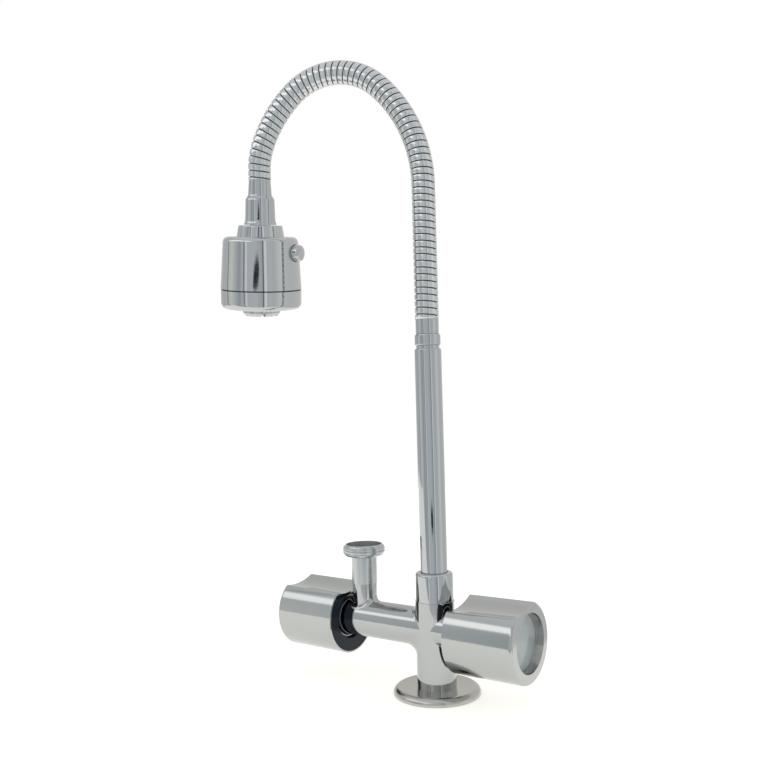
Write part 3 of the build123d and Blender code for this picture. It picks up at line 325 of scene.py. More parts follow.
# %% Give the solid pieces their finishes
finish_of_slot = {
    "chrome": cast_chrome, "nipple_chrome": thread_chrome, "hose_steel": strip_steel,
    "steel": turned_steel, "brass": turned_brass, "black_plastic": black_abs,
    "grey_plastic": frosted_disc, "white_plastic": white_acetal, "ceramic": alumina,
    "nozzle_rubber": silicone, "liner_rubber": liner_rubber, "rubber": seal_and_groove_shade_rubber,
}
finish_of_node = {
    "riser_tube": tube_chrome, "riser_collar": tube_chrome,
    "neck_lower_ferrule": tube_chrome, "neck_upper_ferrule": tube_chrome,
    "left_knob": knob_chrome, "right_knob": knob_chrome, "base_flange": flange_plate,
    "head_collar": head_chrome, "head_shell": head_chrome, "head_ring": head_chrome,
    "aerator_housing": head_chrome, "selector_button": head_chrome,
}
for name, piece in nodes.items():
    slot = piece.material_slots[0]
    slot_name = slot.material.name.split(".")[0]
    slot.material = finish_of_node.get(name) or finish_of_slot[slot_name]
print("finishes:", sorted({p.material_slots[0].material.name for p in nodes.values()}))

# %% [markdown]
# ## The line of the neck
# The neck rises straight from its ferrule, bends over in three arcs of different radius, and turns
# into the direction in which the head hangs. These are the sizes of the solid model, so the wound
# neck made here takes the place of the plain one.

# %% Centreline of the neck
NECK_START = 0.2214
NECK_STRAIGHT = 0.0806
NECK_BENDS = ((0.0885, 45.5), (0.0405, 86.0), (0.076, 28.5))  # radius in metres, turn in degrees
LAST_BEND_RADIUS = 0.042
LAST_STRAIGHT = 0.0069
NECK_HEADING = math.radians(21.0)
HEAD_LEAN_OUT = math.radians(5.3)
HEAD_LEAN_BACK = math.radians(11.0)
REACH = Vector((-math.cos(NECK_HEADING), -math.sin(NECK_HEADING), 0))
BACKWARDS = Vector((-math.sin(NECK_HEADING), math.cos(NECK_HEADING), 0))
UP = Vector((0, 0, 1))
HEAD_DOWN = (REACH * math.tan(HEAD_LEAN_OUT) + BACKWARDS * math.tan(HEAD_LEAN_BACK) - UP).normalized()


def neck_centreline(step):
    """Points along the neck, about one step apart, from the lower ferrule to the upper one."""
    points = [Vector((0, 0, NECK_START))]

    def go_straight(direction, length):
        start, count = points[-1].copy(), max(1, round(length / step))
        points.extend(start + direction * length * i / count for i in range(1, count + 1))

    def go_round(direction, toward, radius, angle):
        start, count = points[-1].copy(), max(2, round(radius * angle / step))
        for i in range(1, count + 1):
            turn = angle * i / count
            forward = direction * radius * math.sin(turn)
            points.append(start + forward + toward * radius * (1 - math.cos(turn)))

    go_straight(UP, NECK_STRAIGHT)
    direction = UP.copy()
    for radius, degrees in NECK_BENDS:
        angle = math.radians(degrees)
        toward = (REACH * direction.dot(UP) - UP * direction.dot(REACH)).normalized()
        go_round(direction, toward, radius, angle)
        direction = direction * math.cos(angle) + toward * math.sin(angle)
    last_turn = direction.angle(HEAD_DOWN)
    toward = (HEAD_DOWN - direction * direction.dot(HEAD_DOWN)).normalized()
    go_round(direction, toward, LAST_BEND_RADIUS, last_turn)
    go_straight(HEAD_DOWN, LAST_STRAIGHT)
    return points


neck_points = neck_centreline(step=0.0012)
HEAD_TOP = neck_points[-1]
neck_length = sum((b - a).length for a, b in zip(neck_points, neck_points[1:]))
print(f"neck {neck_length * 1000:.1f} mm along its middle, ends at {(HEAD_TOP * 1000).to_tuple(1)}")

# %% [markdown]
# ## The wound neck
# A real gooseneck is one steel strip, wound so that each turn hooks over the last and can slide a
# little on it. That slide is what lets the neck bend and stay bent. It could be a tube with grooves,
# but then nothing would show that it is wound. So Geometry Nodes winds a strip: a straight helix
# carries the strip's section, and every point is then carried over from the straight axis to the
# neck's centreline. Turns close up inside a bend and open outside it, as on the real neck.

# %% Helpers for Geometry Nodes
def new_tree(name, sockets):
    """A Geometry Nodes tree with a geometry input and output and the named inputs given."""
    tree = bpy.data.node_groups.new(name, "GeometryNodeTree")
    tree.interface.new_socket("Geometry", in_out="OUTPUT", socket_type="NodeSocketGeometry")
    tree.interface.new_socket("Geometry", in_out="INPUT", socket_type="NodeSocketGeometry")
    for socket_name, kind in sockets.items():
        tree.interface.new_socket(socket_name, in_out="INPUT", socket_type=kind)
    print(f"tree {name} with {len(sockets)} named inputs")
    return tree, tree.nodes.new("NodeGroupInput").outputs, tree.nodes.new("NodeGroupOutput").inputs


def vector_node(tree, operation, links):
    """One Vector Math node."""
    return add_node(tree, "ShaderNodeVectorMath", links, {"operation": operation}).outputs["Vector"]


def split_point(tree):
    """The X, Y and Z of every point."""
    at = add_node(tree, "GeometryNodeInputPosition").outputs["Position"]
    return add_node(tree, "ShaderNodeSeparateXYZ", {"Vector": at}).outputs


def marked_faces(tree, geometry, mark, value=True):
    """Stores a yes or no on every face, by which a material is chosen at the tree's end."""
    return add_node(tree, "GeometryNodeStoreNamedAttribute", {"Geometry": geometry},
                    {"data_type": "BOOLEAN", "domain": "FACE"}, Name=mark, Value=value).outputs["Geometry"]


def paint_marked(tree, geometry, mark, material):
    """Sets the material of the faces that carry the mark."""
    chosen = add_node(tree, "GeometryNodeInputNamedAttribute", settings={"data_type": "BOOLEAN"},
                      Name=mark).outputs["Attribute"]
    return add_node(tree, "GeometryNodeSetMaterial", {
        "Geometry": geometry, "Selection": chosen, "Material": material}).outputs["Geometry"]


# %% [markdown]
# The strip, the ridge of a thread and the wire of a screen are each a section swept along a line. The
# strip's helix is wound about a straight axis first, and then carried over to the neck's line.

# %% Sweeps along a line
def wound_line(tree, segments, turns, radius, height):
    """A helix about Z, whose sections will stand upright."""
    helix = add_node(tree, "GeometryNodeCurveSpiral", {
        "Resolution": segments, "Rotations": turns,
        "Start Radius": radius, "End Radius": radius, "Height": height,
    }).outputs["Curve"]
    return add_node(tree, "GeometryNodeSetCurveNormal", {"Curve": helix}, {"mode": "Z_UP"}).outputs["Curve"]


def rounded(tree, section, radius, steps):
    """The section with its corners rounded."""
    return add_node(tree, "GeometryNodeFilletCurve", {"Curve": section, "Radius": radius},
                    {"mode": "POLY"}, Count=steps, Limit_Radius=True).outputs["Curve"]


def swept_along(tree, line, section):
    """A closed solid: the section carried along the line."""
    return add_node(tree, "GeometryNodeCurveToMesh", {
        "Curve": line, "Profile Curve": section}, Fill_Caps=True).outputs["Mesh"]


def bent_along(tree, geometry, line, start):
    """Carries what stands along Z over to the line, beginning at the height start."""
    at = split_point(tree)
    station = math_node(tree, "SUBTRACT", at["Z"], start)
    sample = add_node(tree, "GeometryNodeSampleCurve", {"Curves": line, "Length": station},
                      {"mode": "LENGTH"}).outputs
    side = vector_node(tree, "CROSS_PRODUCT", {0: sample["Tangent"], 1: sample["Normal"]})
    across = vector_node(tree, "SCALE", {0: sample["Normal"], "Scale": at["X"]})
    aside = vector_node(tree, "SCALE", {0: side, "Scale": at["Y"]})
    offset = vector_node(tree, "ADD", {0: across, 1: aside})
    place = vector_node(tree, "ADD", {0: sample["Position"], 1: offset})
    return add_node(tree, "GeometryNodeSetPosition", {
        "Geometry": geometry, "Position": place}).outputs["Geometry"]


# %% [markdown]
# A tree runs once, as a modifier on a mesh that is then thrown away, and what it makes is kept as a
# plain mesh.

# %% Grow a mesh with a tree
def place_piece(name, mesh):
    """An object at the origin that carries the mesh."""
    piece = bpy.data.objects.new(name, mesh)
    bpy.context.scene.collection.objects.link(piece)
    return piece


def grow(name, seed_mesh, tree, **inputs):
    """Runs a Geometry Nodes tree once on a mesh and returns the result as a plain mesh object."""
    seed = place_piece(f"{name}_seed", seed_mesh)
    modifier = seed.modifiers.new("grow", "NODES")
    modifier.node_group = tree
    for item in tree.interface.items_tree:
        if item.in_out == "INPUT" and item.name.replace(" ", "_") in inputs:
            modifier[item.identifier] = inputs[item.name.replace(" ", "_")]
    seed.update_tag()
    evaluated = seed.evaluated_get(bpy.context.evaluated_depsgraph_get())
    mesh = bpy.data.meshes.new_from_object(evaluated)
    mesh.name = name
    bpy.data.objects.remove(seed)
    print(f"{name}: {len(mesh.vertices)} points, {len(mesh.polygons)} faces")
    return place_piece(name, mesh)


# %% [markdown]
# The strip's section is a flat crown with rounded edges, and a thinner hook lies under the gap between
# one crown and the next. The two are marked, so that each gets its own steel; the hook's steel is darkened
# as painted shade for the gap.

# %% Winding tree
HOOK_THICKNESS = 0.4  # of the crown's height
HOOK_WIDTH = 0.5  # of the crown's width


def winding_tree():
    """Winds a strip along the input edge line. The strip has a crown and, under the gap, a hook."""
    tree, given, result = new_tree("wound_strip", {
        "Pitch": "NodeSocketFloat", "Outer Radius": "NodeSocketFloat", "Crown Width": "NodeSocketFloat",
        "Crown Height": "NodeSocketFloat", "Hook Depth": "NodeSocketFloat", "Edge Round": "NodeSocketFloat",
        "Segments per Turn": "NodeSocketInt", "Crown Material": "NodeSocketMaterial",
        "Hook Material": "NodeSocketMaterial",
    })
    line = add_node(tree, "GeometryNodeMeshToCurve", {"Mesh": given["Geometry"]}).outputs["Curve"]
    length = add_node(tree, "GeometryNodeCurveLength", {"Curve": line}).outputs["Length"]
    # One turn more at each end lies outside the line and is pressed flat against the line's end.
    whole_turns = math_node(tree, "ROUND", math_node(tree, "DIVIDE", length, given["Pitch"]))
    turns = math_node(tree, "ADD", whole_turns, 2)
    height = math_node(tree, "MULTIPLY", turns, math_node(
        tree, "DIVIDE", length, math_node(tree, "SUBTRACT", turns, 2)))
    pitch = math_node(tree, "DIVIDE", height, turns)
    middle = math_node(tree, "SUBTRACT", given["Outer Radius"], math_node(
        tree, "DIVIDE", given["Crown Height"], 2))
    helix = wound_line(tree, given["Segments per Turn"], turns, middle, height)

    crown = add_node(tree, "GeometryNodeCurvePrimitiveQuadrilateral", {
        "Width": given["Crown Height"], "Height": given["Crown Width"]}).outputs["Curve"]
    crown = rounded(tree, crown, given["Edge Round"], steps=3)
    hook = add_node(tree, "GeometryNodeCurvePrimitiveQuadrilateral", {
        "Width": math_node(tree, "MULTIPLY", given["Crown Height"], HOOK_THICKNESS),
        "Height": math_node(tree, "MULTIPLY", given["Crown Width"], HOOK_WIDTH)}).outputs["Curve"]
    shift = add_node(tree, "ShaderNodeCombineXYZ", {
        "X": given["Hook Depth"], "Y": math_node(tree, "DIVIDE", pitch, 2)}).outputs["Vector"]
    hook = add_node(tree, "GeometryNodeTransform", {
        "Geometry": hook, "Translation": shift}).outputs["Geometry"]
    strip = add_node(tree, "GeometryNodeJoinGeometry")
    for section, is_hook in ((crown, False), (hook, True)):
        swept = swept_along(tree, helix, section)
        tree.links.new(marked_faces(tree, swept, "is_hook", is_hook), strip.inputs["Geometry"])

    bent = bent_along(tree, strip.outputs["Geometry"], line, pitch)
    smooth = add_node(tree, "GeometryNodeSetShadeSmooth", {"Geometry": bent}).outputs["Geometry"]
    real = add_node(tree, "GeometryNodeRealizeInstances", {"Geometry": smooth}).outputs["Geometry"]
    crowned = add_node(tree, "GeometryNodeSetMaterial", {
        "Geometry": real, "Material": given["Crown Material"]}).outputs["Geometry"]
    # The hook's faces get the darkened steel, which paints the shade in the gap.
    painted = paint_marked(tree, crowned, "is_hook", given["Hook Material"])
    tree.links.new(painted, result["Geometry"])
    return tree


# %% Wind the neck
def edge_line(name, points):
    """A mesh of edges through the points."""
    mesh = bpy.data.meshes.new(name)
    mesh.from_pydata([tuple(p) for p in points], [(i, i + 1) for i in range(len(points) - 1)], [])
    return mesh


NECK_RADIUS = 0.0071
neck = grow(
    "neck_winding", edge_line("neck_centreline", neck_points), winding_tree(),
    Pitch=0.00397, Outer_Radius=NECK_RADIUS, Crown_Width=0.0033, Crown_Height=0.0009,
    Hook_Depth=0.0006, Edge_Round=0.00026, Segments_per_Turn=44, Crown_Material=strip_steel,
    Hook_Material=hook_steel_painted_shade,
)
neck_corners = neck.bound_box[0], neck.bound_box[6]
print("neck box", [[round(c * 1000, 1) for c in corner] for corner in neck_corners])

# %% [markdown]
# The neck bends between the spout and its upper end. Here it keeps the shape of the solid model: its
# mesh is fixed where it stands, rides on no body, and the plain neck of the solid model is hidden.


def bend_with_neck(piece, node):
    """Fixes the piece where it stands and hides the solid piece that it takes the place of."""
    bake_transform(piece)
    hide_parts(node)


bend_with_neck(neck, "gooseneck_hose")

# %% [markdown]
# ## The inner hose
# The steel strip doesn't hold water. A rubber hose runs inside it, pushed onto the spigots of the two
# ferrules. It is a plain tube along the same line, a little longer at both ends.

# %% Inner hose
LINER_RADIUS = 0.0044
LINER_BORE = 0.0032
LINER_INTO_FERRULE = 0.006


def tube_along(name, points, outer, inner, sides):
    """A closed tube with a wall, square to its line at every point."""
    ring_frames, normal = [], None
    for i, point in enumerate(points):
        along = (points[min(i + 1, len(points) - 1)] - points[max(i - 1, 0)]).normalized()
        normal = BACKWARDS if normal is None else normal
        normal = (normal - along * along.dot(normal)).normalized()
        ring_frames.append((point, normal, along.cross(normal)))
    circle = [(math.cos(2 * math.pi * k / sides), math.sin(2 * math.pi * k / sides)) for k in range(sides)]
    corners = [
        centre + (a * c + b * s) * radius
        for radius in (outer, inner) for centre, a, b in ring_frames for c, s in circle
    ]
    count, faces = len(points), []
    for wall in (0, 1):
        for i in range(count - 1):
            for k in range(sides):
                a, b = (wall * count + i) * sides + k, (wall * count + i) * sides + (k + 1) % sides
                quad = (a, b, b + sides, a + sides)
                faces.append(quad if wall == 0 else quad[::-1])
    for i in (0, count - 1):
        for k in range(sides):
            a, b = i * sides + k, i * sides + (k + 1) % sides
            quad = (a, b, b + count * sides, a + count * sides)
            faces.append(quad if i else quad[::-1])
    mesh = bpy.data.meshes.new(name)
    mesh.from_pydata([tuple(c) for c in corners], [], faces)
    mesh.polygons.foreach_set("use_smooth", [True] * len(mesh.polygons))
    return place_piece(name, mesh)


liner_points = (
    [Vector((0, 0, NECK_START - LINER_INTO_FERRULE))] + neck_centreline(step=0.003)
    + [HEAD_TOP + HEAD_DOWN * LINER_INTO_FERRULE]
)
liner = tube_along("inner_hose", liner_points, LINER_RADIUS, LINER_BORE, sides=28)
liner.data.materials.append(liner_rubber)
bend_with_neck(liner, "liner_hose")
print(f"inner hose: {len(liner_points)} rings, {len(liner.data.polygons)} faces")

# %% [markdown]
# ## Cut threads
# The side outlet ends in a thread for a hose nut, and the shank under the worktop has one for its
# lock nut. In the solid model they are rings and a plain cylinder. Here a body is turned, and Geometry
# Nodes wind one ridge round it at the thread's pitch. The outlet's thread is cut on a rounded ring and
# was buffed before it was plated, so its ridge is wide, its groove is narrow and shallow, and the ridge
# gets lower towards both ends.

# %% Turned bodies
SHARP_ANGLE = math.radians(35)


def turned_mesh(name, profile, centre, axis, sides, finish, bore_finish=None, bore_from=None):
    """A closed profile of (radius, height) points in millimetres, turned about an axis.

    The bore's finish covers the profile from the point with the number bore_from on.
    """
    across = axis.orthogonal().normalized()
    aside = axis.cross(across)
    round_about = [
        across * math.cos(2 * math.pi * k / sides) + aside * math.sin(2 * math.pi * k / sides)
        for k in range(sides)
    ]
    form = bmesh.new()
    rings = [
        [form.verts.new(centre + axis * height / 1000 + way * radius / 1000) for way in round_about]
        for radius, height in profile
    ]
    for i, ring in enumerate(rings):
        following = rings[(i + 1) % len(rings)]
        for k in range(sides):
            beside = (k + 1) % sides
            face = form.faces.new((ring[k], ring[beside], following[beside], following[k]))
            face.smooth = True
            face.material_index = 1 if bore_from is not None and i >= bore_from else 0
    bmesh.ops.recalc_face_normals(form, faces=form.faces)
    mesh = bpy.data.meshes.new(name)
    form.to_mesh(mesh)
    form.free()
    mesh.materials.append(finish)
    if bore_finish is not None:
        mesh.materials.append(bore_finish)
    mesh.set_sharp_from_angle(angle=SHARP_ANGLE)
    return mesh


# %% Thread tree
RIDGE_ROOTED = 1.4  # the ridge's height over the thread's depth, so that its foot lies in the body


def thread_tree():
    """Winds a ridge about the Z axis and joins it to the turned body that the tree is given."""
    tree, given, result = new_tree("cut_thread", {
        "Start": "NodeSocketVector", "Crest Radius": "NodeSocketFloat", "Depth": "NodeSocketFloat",
        "Pitch": "NodeSocketFloat", "Turns": "NodeSocketFloat", "Crest Width": "NodeSocketFloat",
        "Foot Width": "NodeSocketFloat", "Edge Round": "NodeSocketFloat", "Dome": "NodeSocketFloat",
        "Segments per Turn": "NodeSocketInt", "Material": "NodeSocketMaterial",
    })
    ridge_height = math_node(tree, "MULTIPLY", given["Depth"], RIDGE_ROOTED)
    middle = math_node(tree, "SUBTRACT", given["Crest Radius"], math_node(tree, "DIVIDE", ridge_height, 2))
    rise = math_node(tree, "MULTIPLY", given["Turns"], given["Pitch"])
    helix = wound_line(tree, given["Segments per Turn"], given["Turns"], middle, rise)
    section = add_node(tree, "GeometryNodeCurvePrimitiveQuadrilateral", {
        "Bottom Width": given["Foot Width"], "Top Width": given["Crest Width"], "Height": ridge_height,
    }, {"mode": "TRAPEZOID"}, Offset=0.0).outputs["Curve"]
    section = add_node(tree, "GeometryNodeTransform", {"Geometry": section},
                       Rotation=(0, 0, math.pi / 2)).outputs["Geometry"]
    ridge = swept_along(tree, helix, rounded(tree, section, given["Edge Round"], steps=2))

    # The ridge keeps its height over the middle and falls by the dome towards both ends.
    at = split_point(tree)
    share = math_node(tree, "SUBTRACT", math_node(
        tree, "DIVIDE", math_node(tree, "MULTIPLY", at["Z"], 2), rise), 1)
    fall = math_node(tree, "POWER", math_node(tree, "ABSOLUTE", share), 4)
    lowered = math_node(tree, "MULTIPLY", math_node(tree, "MULTIPLY", fall, given["Dome"]), -1)
    level = add_node(tree, "ShaderNodeCombineXYZ", {"X": at["X"], "Y": at["Y"]}).outputs["Vector"]
    inward = vector_node(tree, "SCALE", {0: vector_node(tree, "NORMALIZE", {0: level}), "Scale": lowered})
    ridge = add_node(tree, "GeometryNodeSetPosition", {
        "Geometry": ridge, "Offset": inward}).outputs["Geometry"]
    ridge = add_node(tree, "GeometryNodeTransform", {
        "Geometry": ridge, "Translation": given["Start"]}).outputs["Geometry"]
    ridge = add_node(tree, "GeometryNodeSetShadeSmooth", {"Geometry": ridge}).outputs["Geometry"]
    joined = add_node(tree, "GeometryNodeJoinGeometry")
    tree.links.new(given["Geometry"], joined.inputs["Geometry"])
    tree.links.new(marked_faces(tree, ridge, "is_ridge"), joined.inputs["Geometry"])
    real = add_node(tree, "GeometryNodeRealizeInstances", {
        "Geometry": joined.outputs["Geometry"]}).outputs["Geometry"]
    tree.links.new(paint_marked(tree, real, "is_ridge", given["Material"]), result["Geometry"])
    return tree


cut_thread = thread_tree()

# %% [markdown]
# Both threads have the pitch of a half or three-quarter inch pipe thread. The outlet's mouth was never
# buffed: its inside keeps the dull nickel that lies under the chrome, and reads as soft grey.

# %% Threaded side outlet
THREAD_PITCH = 0.001814
OUTLET_X = -0.052
OUTLET_LIP = 17  # the point of the profile at which the mouth begins
outlet_profile = [
    (5.6, 54.2), (6.6, 54.2), (6.6, 60.2), (7.95, 60.2), (7.95, 76.3), (8.3, 76.6), (9.6, 76.8),
    (11.2, 77.0), (12.1, 77.5), (12.5, 78.2), (12.63, 79.2), (12.65, 80.8), (12.63, 82.2), (12.45, 83.0),
    (12.0, 83.7), (11.6, 84.1), (11.3, 84.2), (11.0, 84.0), (11.0, 78.1), (10.5, 77.6), (5.6, 77.6),
]
outlet_body = turned_mesh(
    "outlet_body", outlet_profile, Vector((OUTLET_X, 0, 0)), UP, sides=96,
    finish=thread_chrome, bore_finish=bore_nickel, bore_from=OUTLET_LIP)
outlet_thread = grow(
    "threaded_outlet", outlet_body, cut_thread,
    Start=(OUTLET_X, 0, 0.078), Crest_Radius=0.01322, Depth=0.0006, Pitch=THREAD_PITCH, Turns=2.95,
    Crest_Width=0.00105, Foot_Width=0.0013, Edge_Round=0.00012, Dome=0.0008, Segments_per_Turn=72,
    Material=thread_chrome,
)
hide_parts("outlet_nipple")
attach(outlet_thread, "body")

# %% Threaded shank
shank_profile = [
    (5.5, -48.0), (8.7, -48.0), (9.32, -47.4), (9.32, -3.4), (10.48, -2.4), (10.48, 4.0), (8.5, 4.0),
    (8.5, 14.0), (5.5, 14.0),
]
shank_body = turned_mesh(
    "shank_body", shank_profile, Vector((0, 0, 0)), UP, sides=72, finish=turned_brass)
shank = grow(
    "threaded_shank", shank_body, cut_thread,
    Start=(0, 0, -0.0468), Crest_Radius=0.01048, Depth=0.00116, Pitch=THREAD_PITCH, Turns=23.5,
    Crest_Width=0.0003, Foot_Width=0.00172, Edge_Round=0.0001, Dome=0.0, Segments_per_Turn=48,
    Material=turned_brass,
)
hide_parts("inlet_shank")
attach(shank, "body")

# %% [markdown]
# ## Small parts of the spray head
# The head's shell and lower ring meet in a narrow groove, and a thin black ring laid in it is painted
# shade, drawn as a thin dark line where the groove is in shadow. Inside the aerator's mouth lies a screen
# of woven wire. In the solid model it is a slotted disc, and here Geometry Nodes weave it: of a grid only
# the lines one way are kept, each line is cut to the round mouth and waved over and under the ones that it
# crosses, and a wire follows it.

# %% Painted shade in the groove of the head
# A black ring in the groove, put there as painted shade: it draws the groove's shadow as a dark line.
groove_shade_profile = [(24.8, 68.75), (25.45, 68.75), (25.45, 69.45), (24.8, 69.45)]
groove_shade_ring = place_piece("head_seam_seal", turned_mesh(
    "head_seam_seal", groove_shade_profile, HEAD_TOP, HEAD_DOWN, sides=128, finish=seal_and_groove_shade_rubber))
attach(groove_shade_ring, "spray_head")
print(f"seal in the head's seam: {len(groove_shade_ring.data.polygons)} faces")

# %% Woven screen tree
POINTS_PER_WIRE = 60
SIDES_OF_WIRE = 6


def one_way_wires(tree, given, across, wires, spread, side):
    """Lines along X, each as long as its chord of the round mouth and waved across the screen.

    The side is 1 or -1 and says which way the first wave goes.
    """
    grid = add_node(tree, "GeometryNodeMeshGrid", {
        "Size X": across, "Size Y": spread, "Vertices Y": wires},
        Vertices_X=POINTS_PER_WIRE).outputs["Mesh"]
    ends = add_node(tree, "GeometryNodeInputMeshEdgeVertices").outputs
    # An edge whose ends differ in Y runs the other way and is taken out.
    step = vector_node(tree, "SUBTRACT", {0: ends["Position 1"], 1: ends["Position 2"]})
    step = add_node(tree, "ShaderNodeSeparateXYZ", {"Vector": step}).outputs["Y"]
    crosses = math_node(tree, "GREATER_THAN", math_node(tree, "ABSOLUTE", step), 0.00001)
    lines = add_node(tree, "GeometryNodeDeleteGeometry", {"Geometry": grid, "Selection": crosses},
                     {"domain": "EDGE", "mode": "EDGE_FACE"}).outputs["Geometry"]
    at = split_point(tree)
    share = math_node(tree, "DIVIDE", at["Y"], given["Radius"])
    chord = math_node(tree, "SQRT", math_node(
        tree, "SUBTRACT", 1, math_node(tree, "MULTIPLY", share, share)))
    along = math_node(tree, "MULTIPLY", at["X"], chord)
    phase = math_node(tree, "MULTIPLY", math_node(
        tree, "DIVIDE", math_node(tree, "ADD", along, at["Y"]), given["Mesh Width"]), math.pi)
    lift = math_node(tree, "MULTIPLY", math_node(tree, "COSINE", phase), math_node(
        tree, "MULTIPLY", given["Wire Radius"], side))
    waved = add_node(tree, "ShaderNodeCombineXYZ", {"X": along, "Y": at["Y"], "Z": lift}).outputs["Vector"]
    lines = add_node(tree, "GeometryNodeSetPosition", {
        "Geometry": lines, "Position": waved}).outputs["Geometry"]
    return add_node(tree, "GeometryNodeMeshToCurve", {"Mesh": lines}).outputs["Curve"]


def screen_tree():
    """Weaves a round screen in the XY plane inside the rim that the tree is given."""
    tree, given, result = new_tree("woven_screen", {
        "Radius": "NodeSocketFloat", "Mesh Width": "NodeSocketFloat", "Wire Radius": "NodeSocketFloat",
        "Material": "NodeSocketMaterial",
    })
    across = math_node(tree, "MULTIPLY", given["Radius"], 2)
    wires = math_node(tree, "FLOOR", math_node(tree, "DIVIDE", across, given["Mesh Width"]))
    spread = math_node(tree, "MULTIPLY", math_node(tree, "SUBTRACT", wires, 1), given["Mesh Width"])
    joined = add_node(tree, "GeometryNodeJoinGeometry")
    tree.links.new(given["Geometry"], joined.inputs["Geometry"])
    ring = add_node(tree, "GeometryNodeCurvePrimitiveCircle", {"Radius": given["Wire Radius"]},
                    Resolution=SIDES_OF_WIRE).outputs["Curve"]
    for side, turn in ((1, 0), (-1, math.pi / 2)):
        wire = swept_along(tree, one_way_wires(tree, given, across, wires, spread, side), ring)
        wire = add_node(tree, "GeometryNodeTransform", {"Geometry": wire},
                        Rotation=(0, 0, turn)).outputs["Geometry"]
        tree.links.new(wire, joined.inputs["Geometry"])
    smooth = add_node(tree, "GeometryNodeSetShadeSmooth", {
        "Geometry": joined.outputs["Geometry"]}).outputs["Geometry"]
    real = add_node(tree, "GeometryNodeRealizeInstances", {"Geometry": smooth}).outputs["Geometry"]
    painted = add_node(tree, "GeometryNodeSetMaterial", {
        "Geometry": real, "Material": given["Material"]}).outputs["Geometry"]
    tree.links.new(painted, result["Geometry"])
    return tree


# %% Woven screen in the aerator
SCREEN_STATION = 0.0832  # below the head's top
rim_profile = [(7.6, -0.4), (8.3, -0.4), (8.3, 0.4), (7.6, 0.4)]
screen_rim = turned_mesh(
    "screen_rim", rim_profile, Vector((0, 0, 0)), UP, sides=48, finish=turned_steel)
screen = grow("aerator_screen", screen_rim, screen_tree(), Radius=0.0079, Mesh_Width=0.00105,
              Wire_Radius=0.00016, Material=turned_steel)
head_side = (BACKWARDS - HEAD_DOWN * HEAD_DOWN.dot(BACKWARDS)).normalized()
head_turn = Matrix((head_side, HEAD_DOWN.cross(head_side), HEAD_DOWN)).transposed().to_4x4()
screen.data.transform(Matrix.Translation(HEAD_TOP + HEAD_DOWN * SCREEN_STATION) @ head_turn)
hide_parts("aerator_mesh")
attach(screen, "spray_head")

# %% [markdown]
# ## The table
# The tap stands on a translucent sheet lit from below, as product photographers use it: shadows
# all but vanish, and its edges can't be told from the white background. Chrome does mirror its front
# edge, which is close to the tap: below it the column and the arm are light, and above it they are as
# grey as the tent. A black card under the edge gives the thin dark line along the arm and the knobs.

# %% Table and card
TABLE_FRONT = 0.19
TABLE_BACK = 1.2
TABLE_LEFT = 1.2
TABLE_RIGHT = 0.17
CARD_HEIGHT = 0.012
TABLE_GLOW = 0.6
ACROSS = Vector((math.cos(CAMERA_HEADING), math.sin(CAMERA_HEADING), 0))
AWAY = Vector((-math.sin(CAMERA_HEADING), math.cos(CAMERA_HEADING), 0))


def flat_sheet(name, corners, colour, glow=0.0):
    """A sheet of the studio, which isn't part of the tap."""
    mesh = bpy.data.meshes.new(name)
    mesh.from_pydata([tuple(corner) for corner in corners], [], [(0, 1, 2, 3)])
    sheet = place_piece(name, mesh)
    material, _, _ = new_material(
        f"{name}_sheet", Base_Color=linear(colour), Roughness=0.9,
        Emission_Color=linear("#FFFDF8"), Emission_Strength=glow)
    mesh.materials.append(material)
    return sheet


front_left = -ACROSS * TABLE_LEFT - AWAY * TABLE_FRONT
front_right = ACROSS * TABLE_RIGHT - AWAY * TABLE_FRONT
to_back = AWAY * (TABLE_FRONT + TABLE_BACK)
flat_sheet(
    "table", (front_left, front_right, front_right + to_back, front_left + to_back), "#D9D8D5", TABLE_GLOW)
drop = Vector((0, 0, -CARD_HEIGHT))
card = flat_sheet("black_card", (front_left + drop, front_right + drop, front_right, front_left), "#232629")
card.visible_camera = False
print(f"table {TABLE_LEFT + TABLE_RIGHT:.1f} m wide, front edge {TABLE_FRONT * 1000:.0f} mm before the tap")

# %% [markdown]
# ## The light tent
# A mirror shows only what is around it. Here that is a tent of pale cloth, brighter to the right, with
# a seam, a fold, an opening and strips of light that draw the long streaks on the upright pieces. The
# tent is the world's brightness as a function of heading and height, in degrees: from the riser, the
# camera lies at a heading of -57. The camera itself sees plain white. One long softbox, high on the
# left, draws the bright band along the top of the arm and knobs.

# %% Colours of the tent
# Heading and colour of the cloth all round.
TENT_WALLS = (
    (-180, "#D0D4D6"), (-150, "#E0E2E2"), (-126, "#D4D9DC"), (-112, "#B4BBBF"), (-103, "#D2D7DA"),
    (-62, "#DADEE0"), (-40, "#C0C8CC"), (-22, "#DCDFE0"), (-8, "#D4D8D9"), (9, "#F0F0EE"),
    (40, "#E0E3E3"), (75, "#E2E3E2"), (108, "#E4E2DE"), (180, "#D0D4D6"),
)
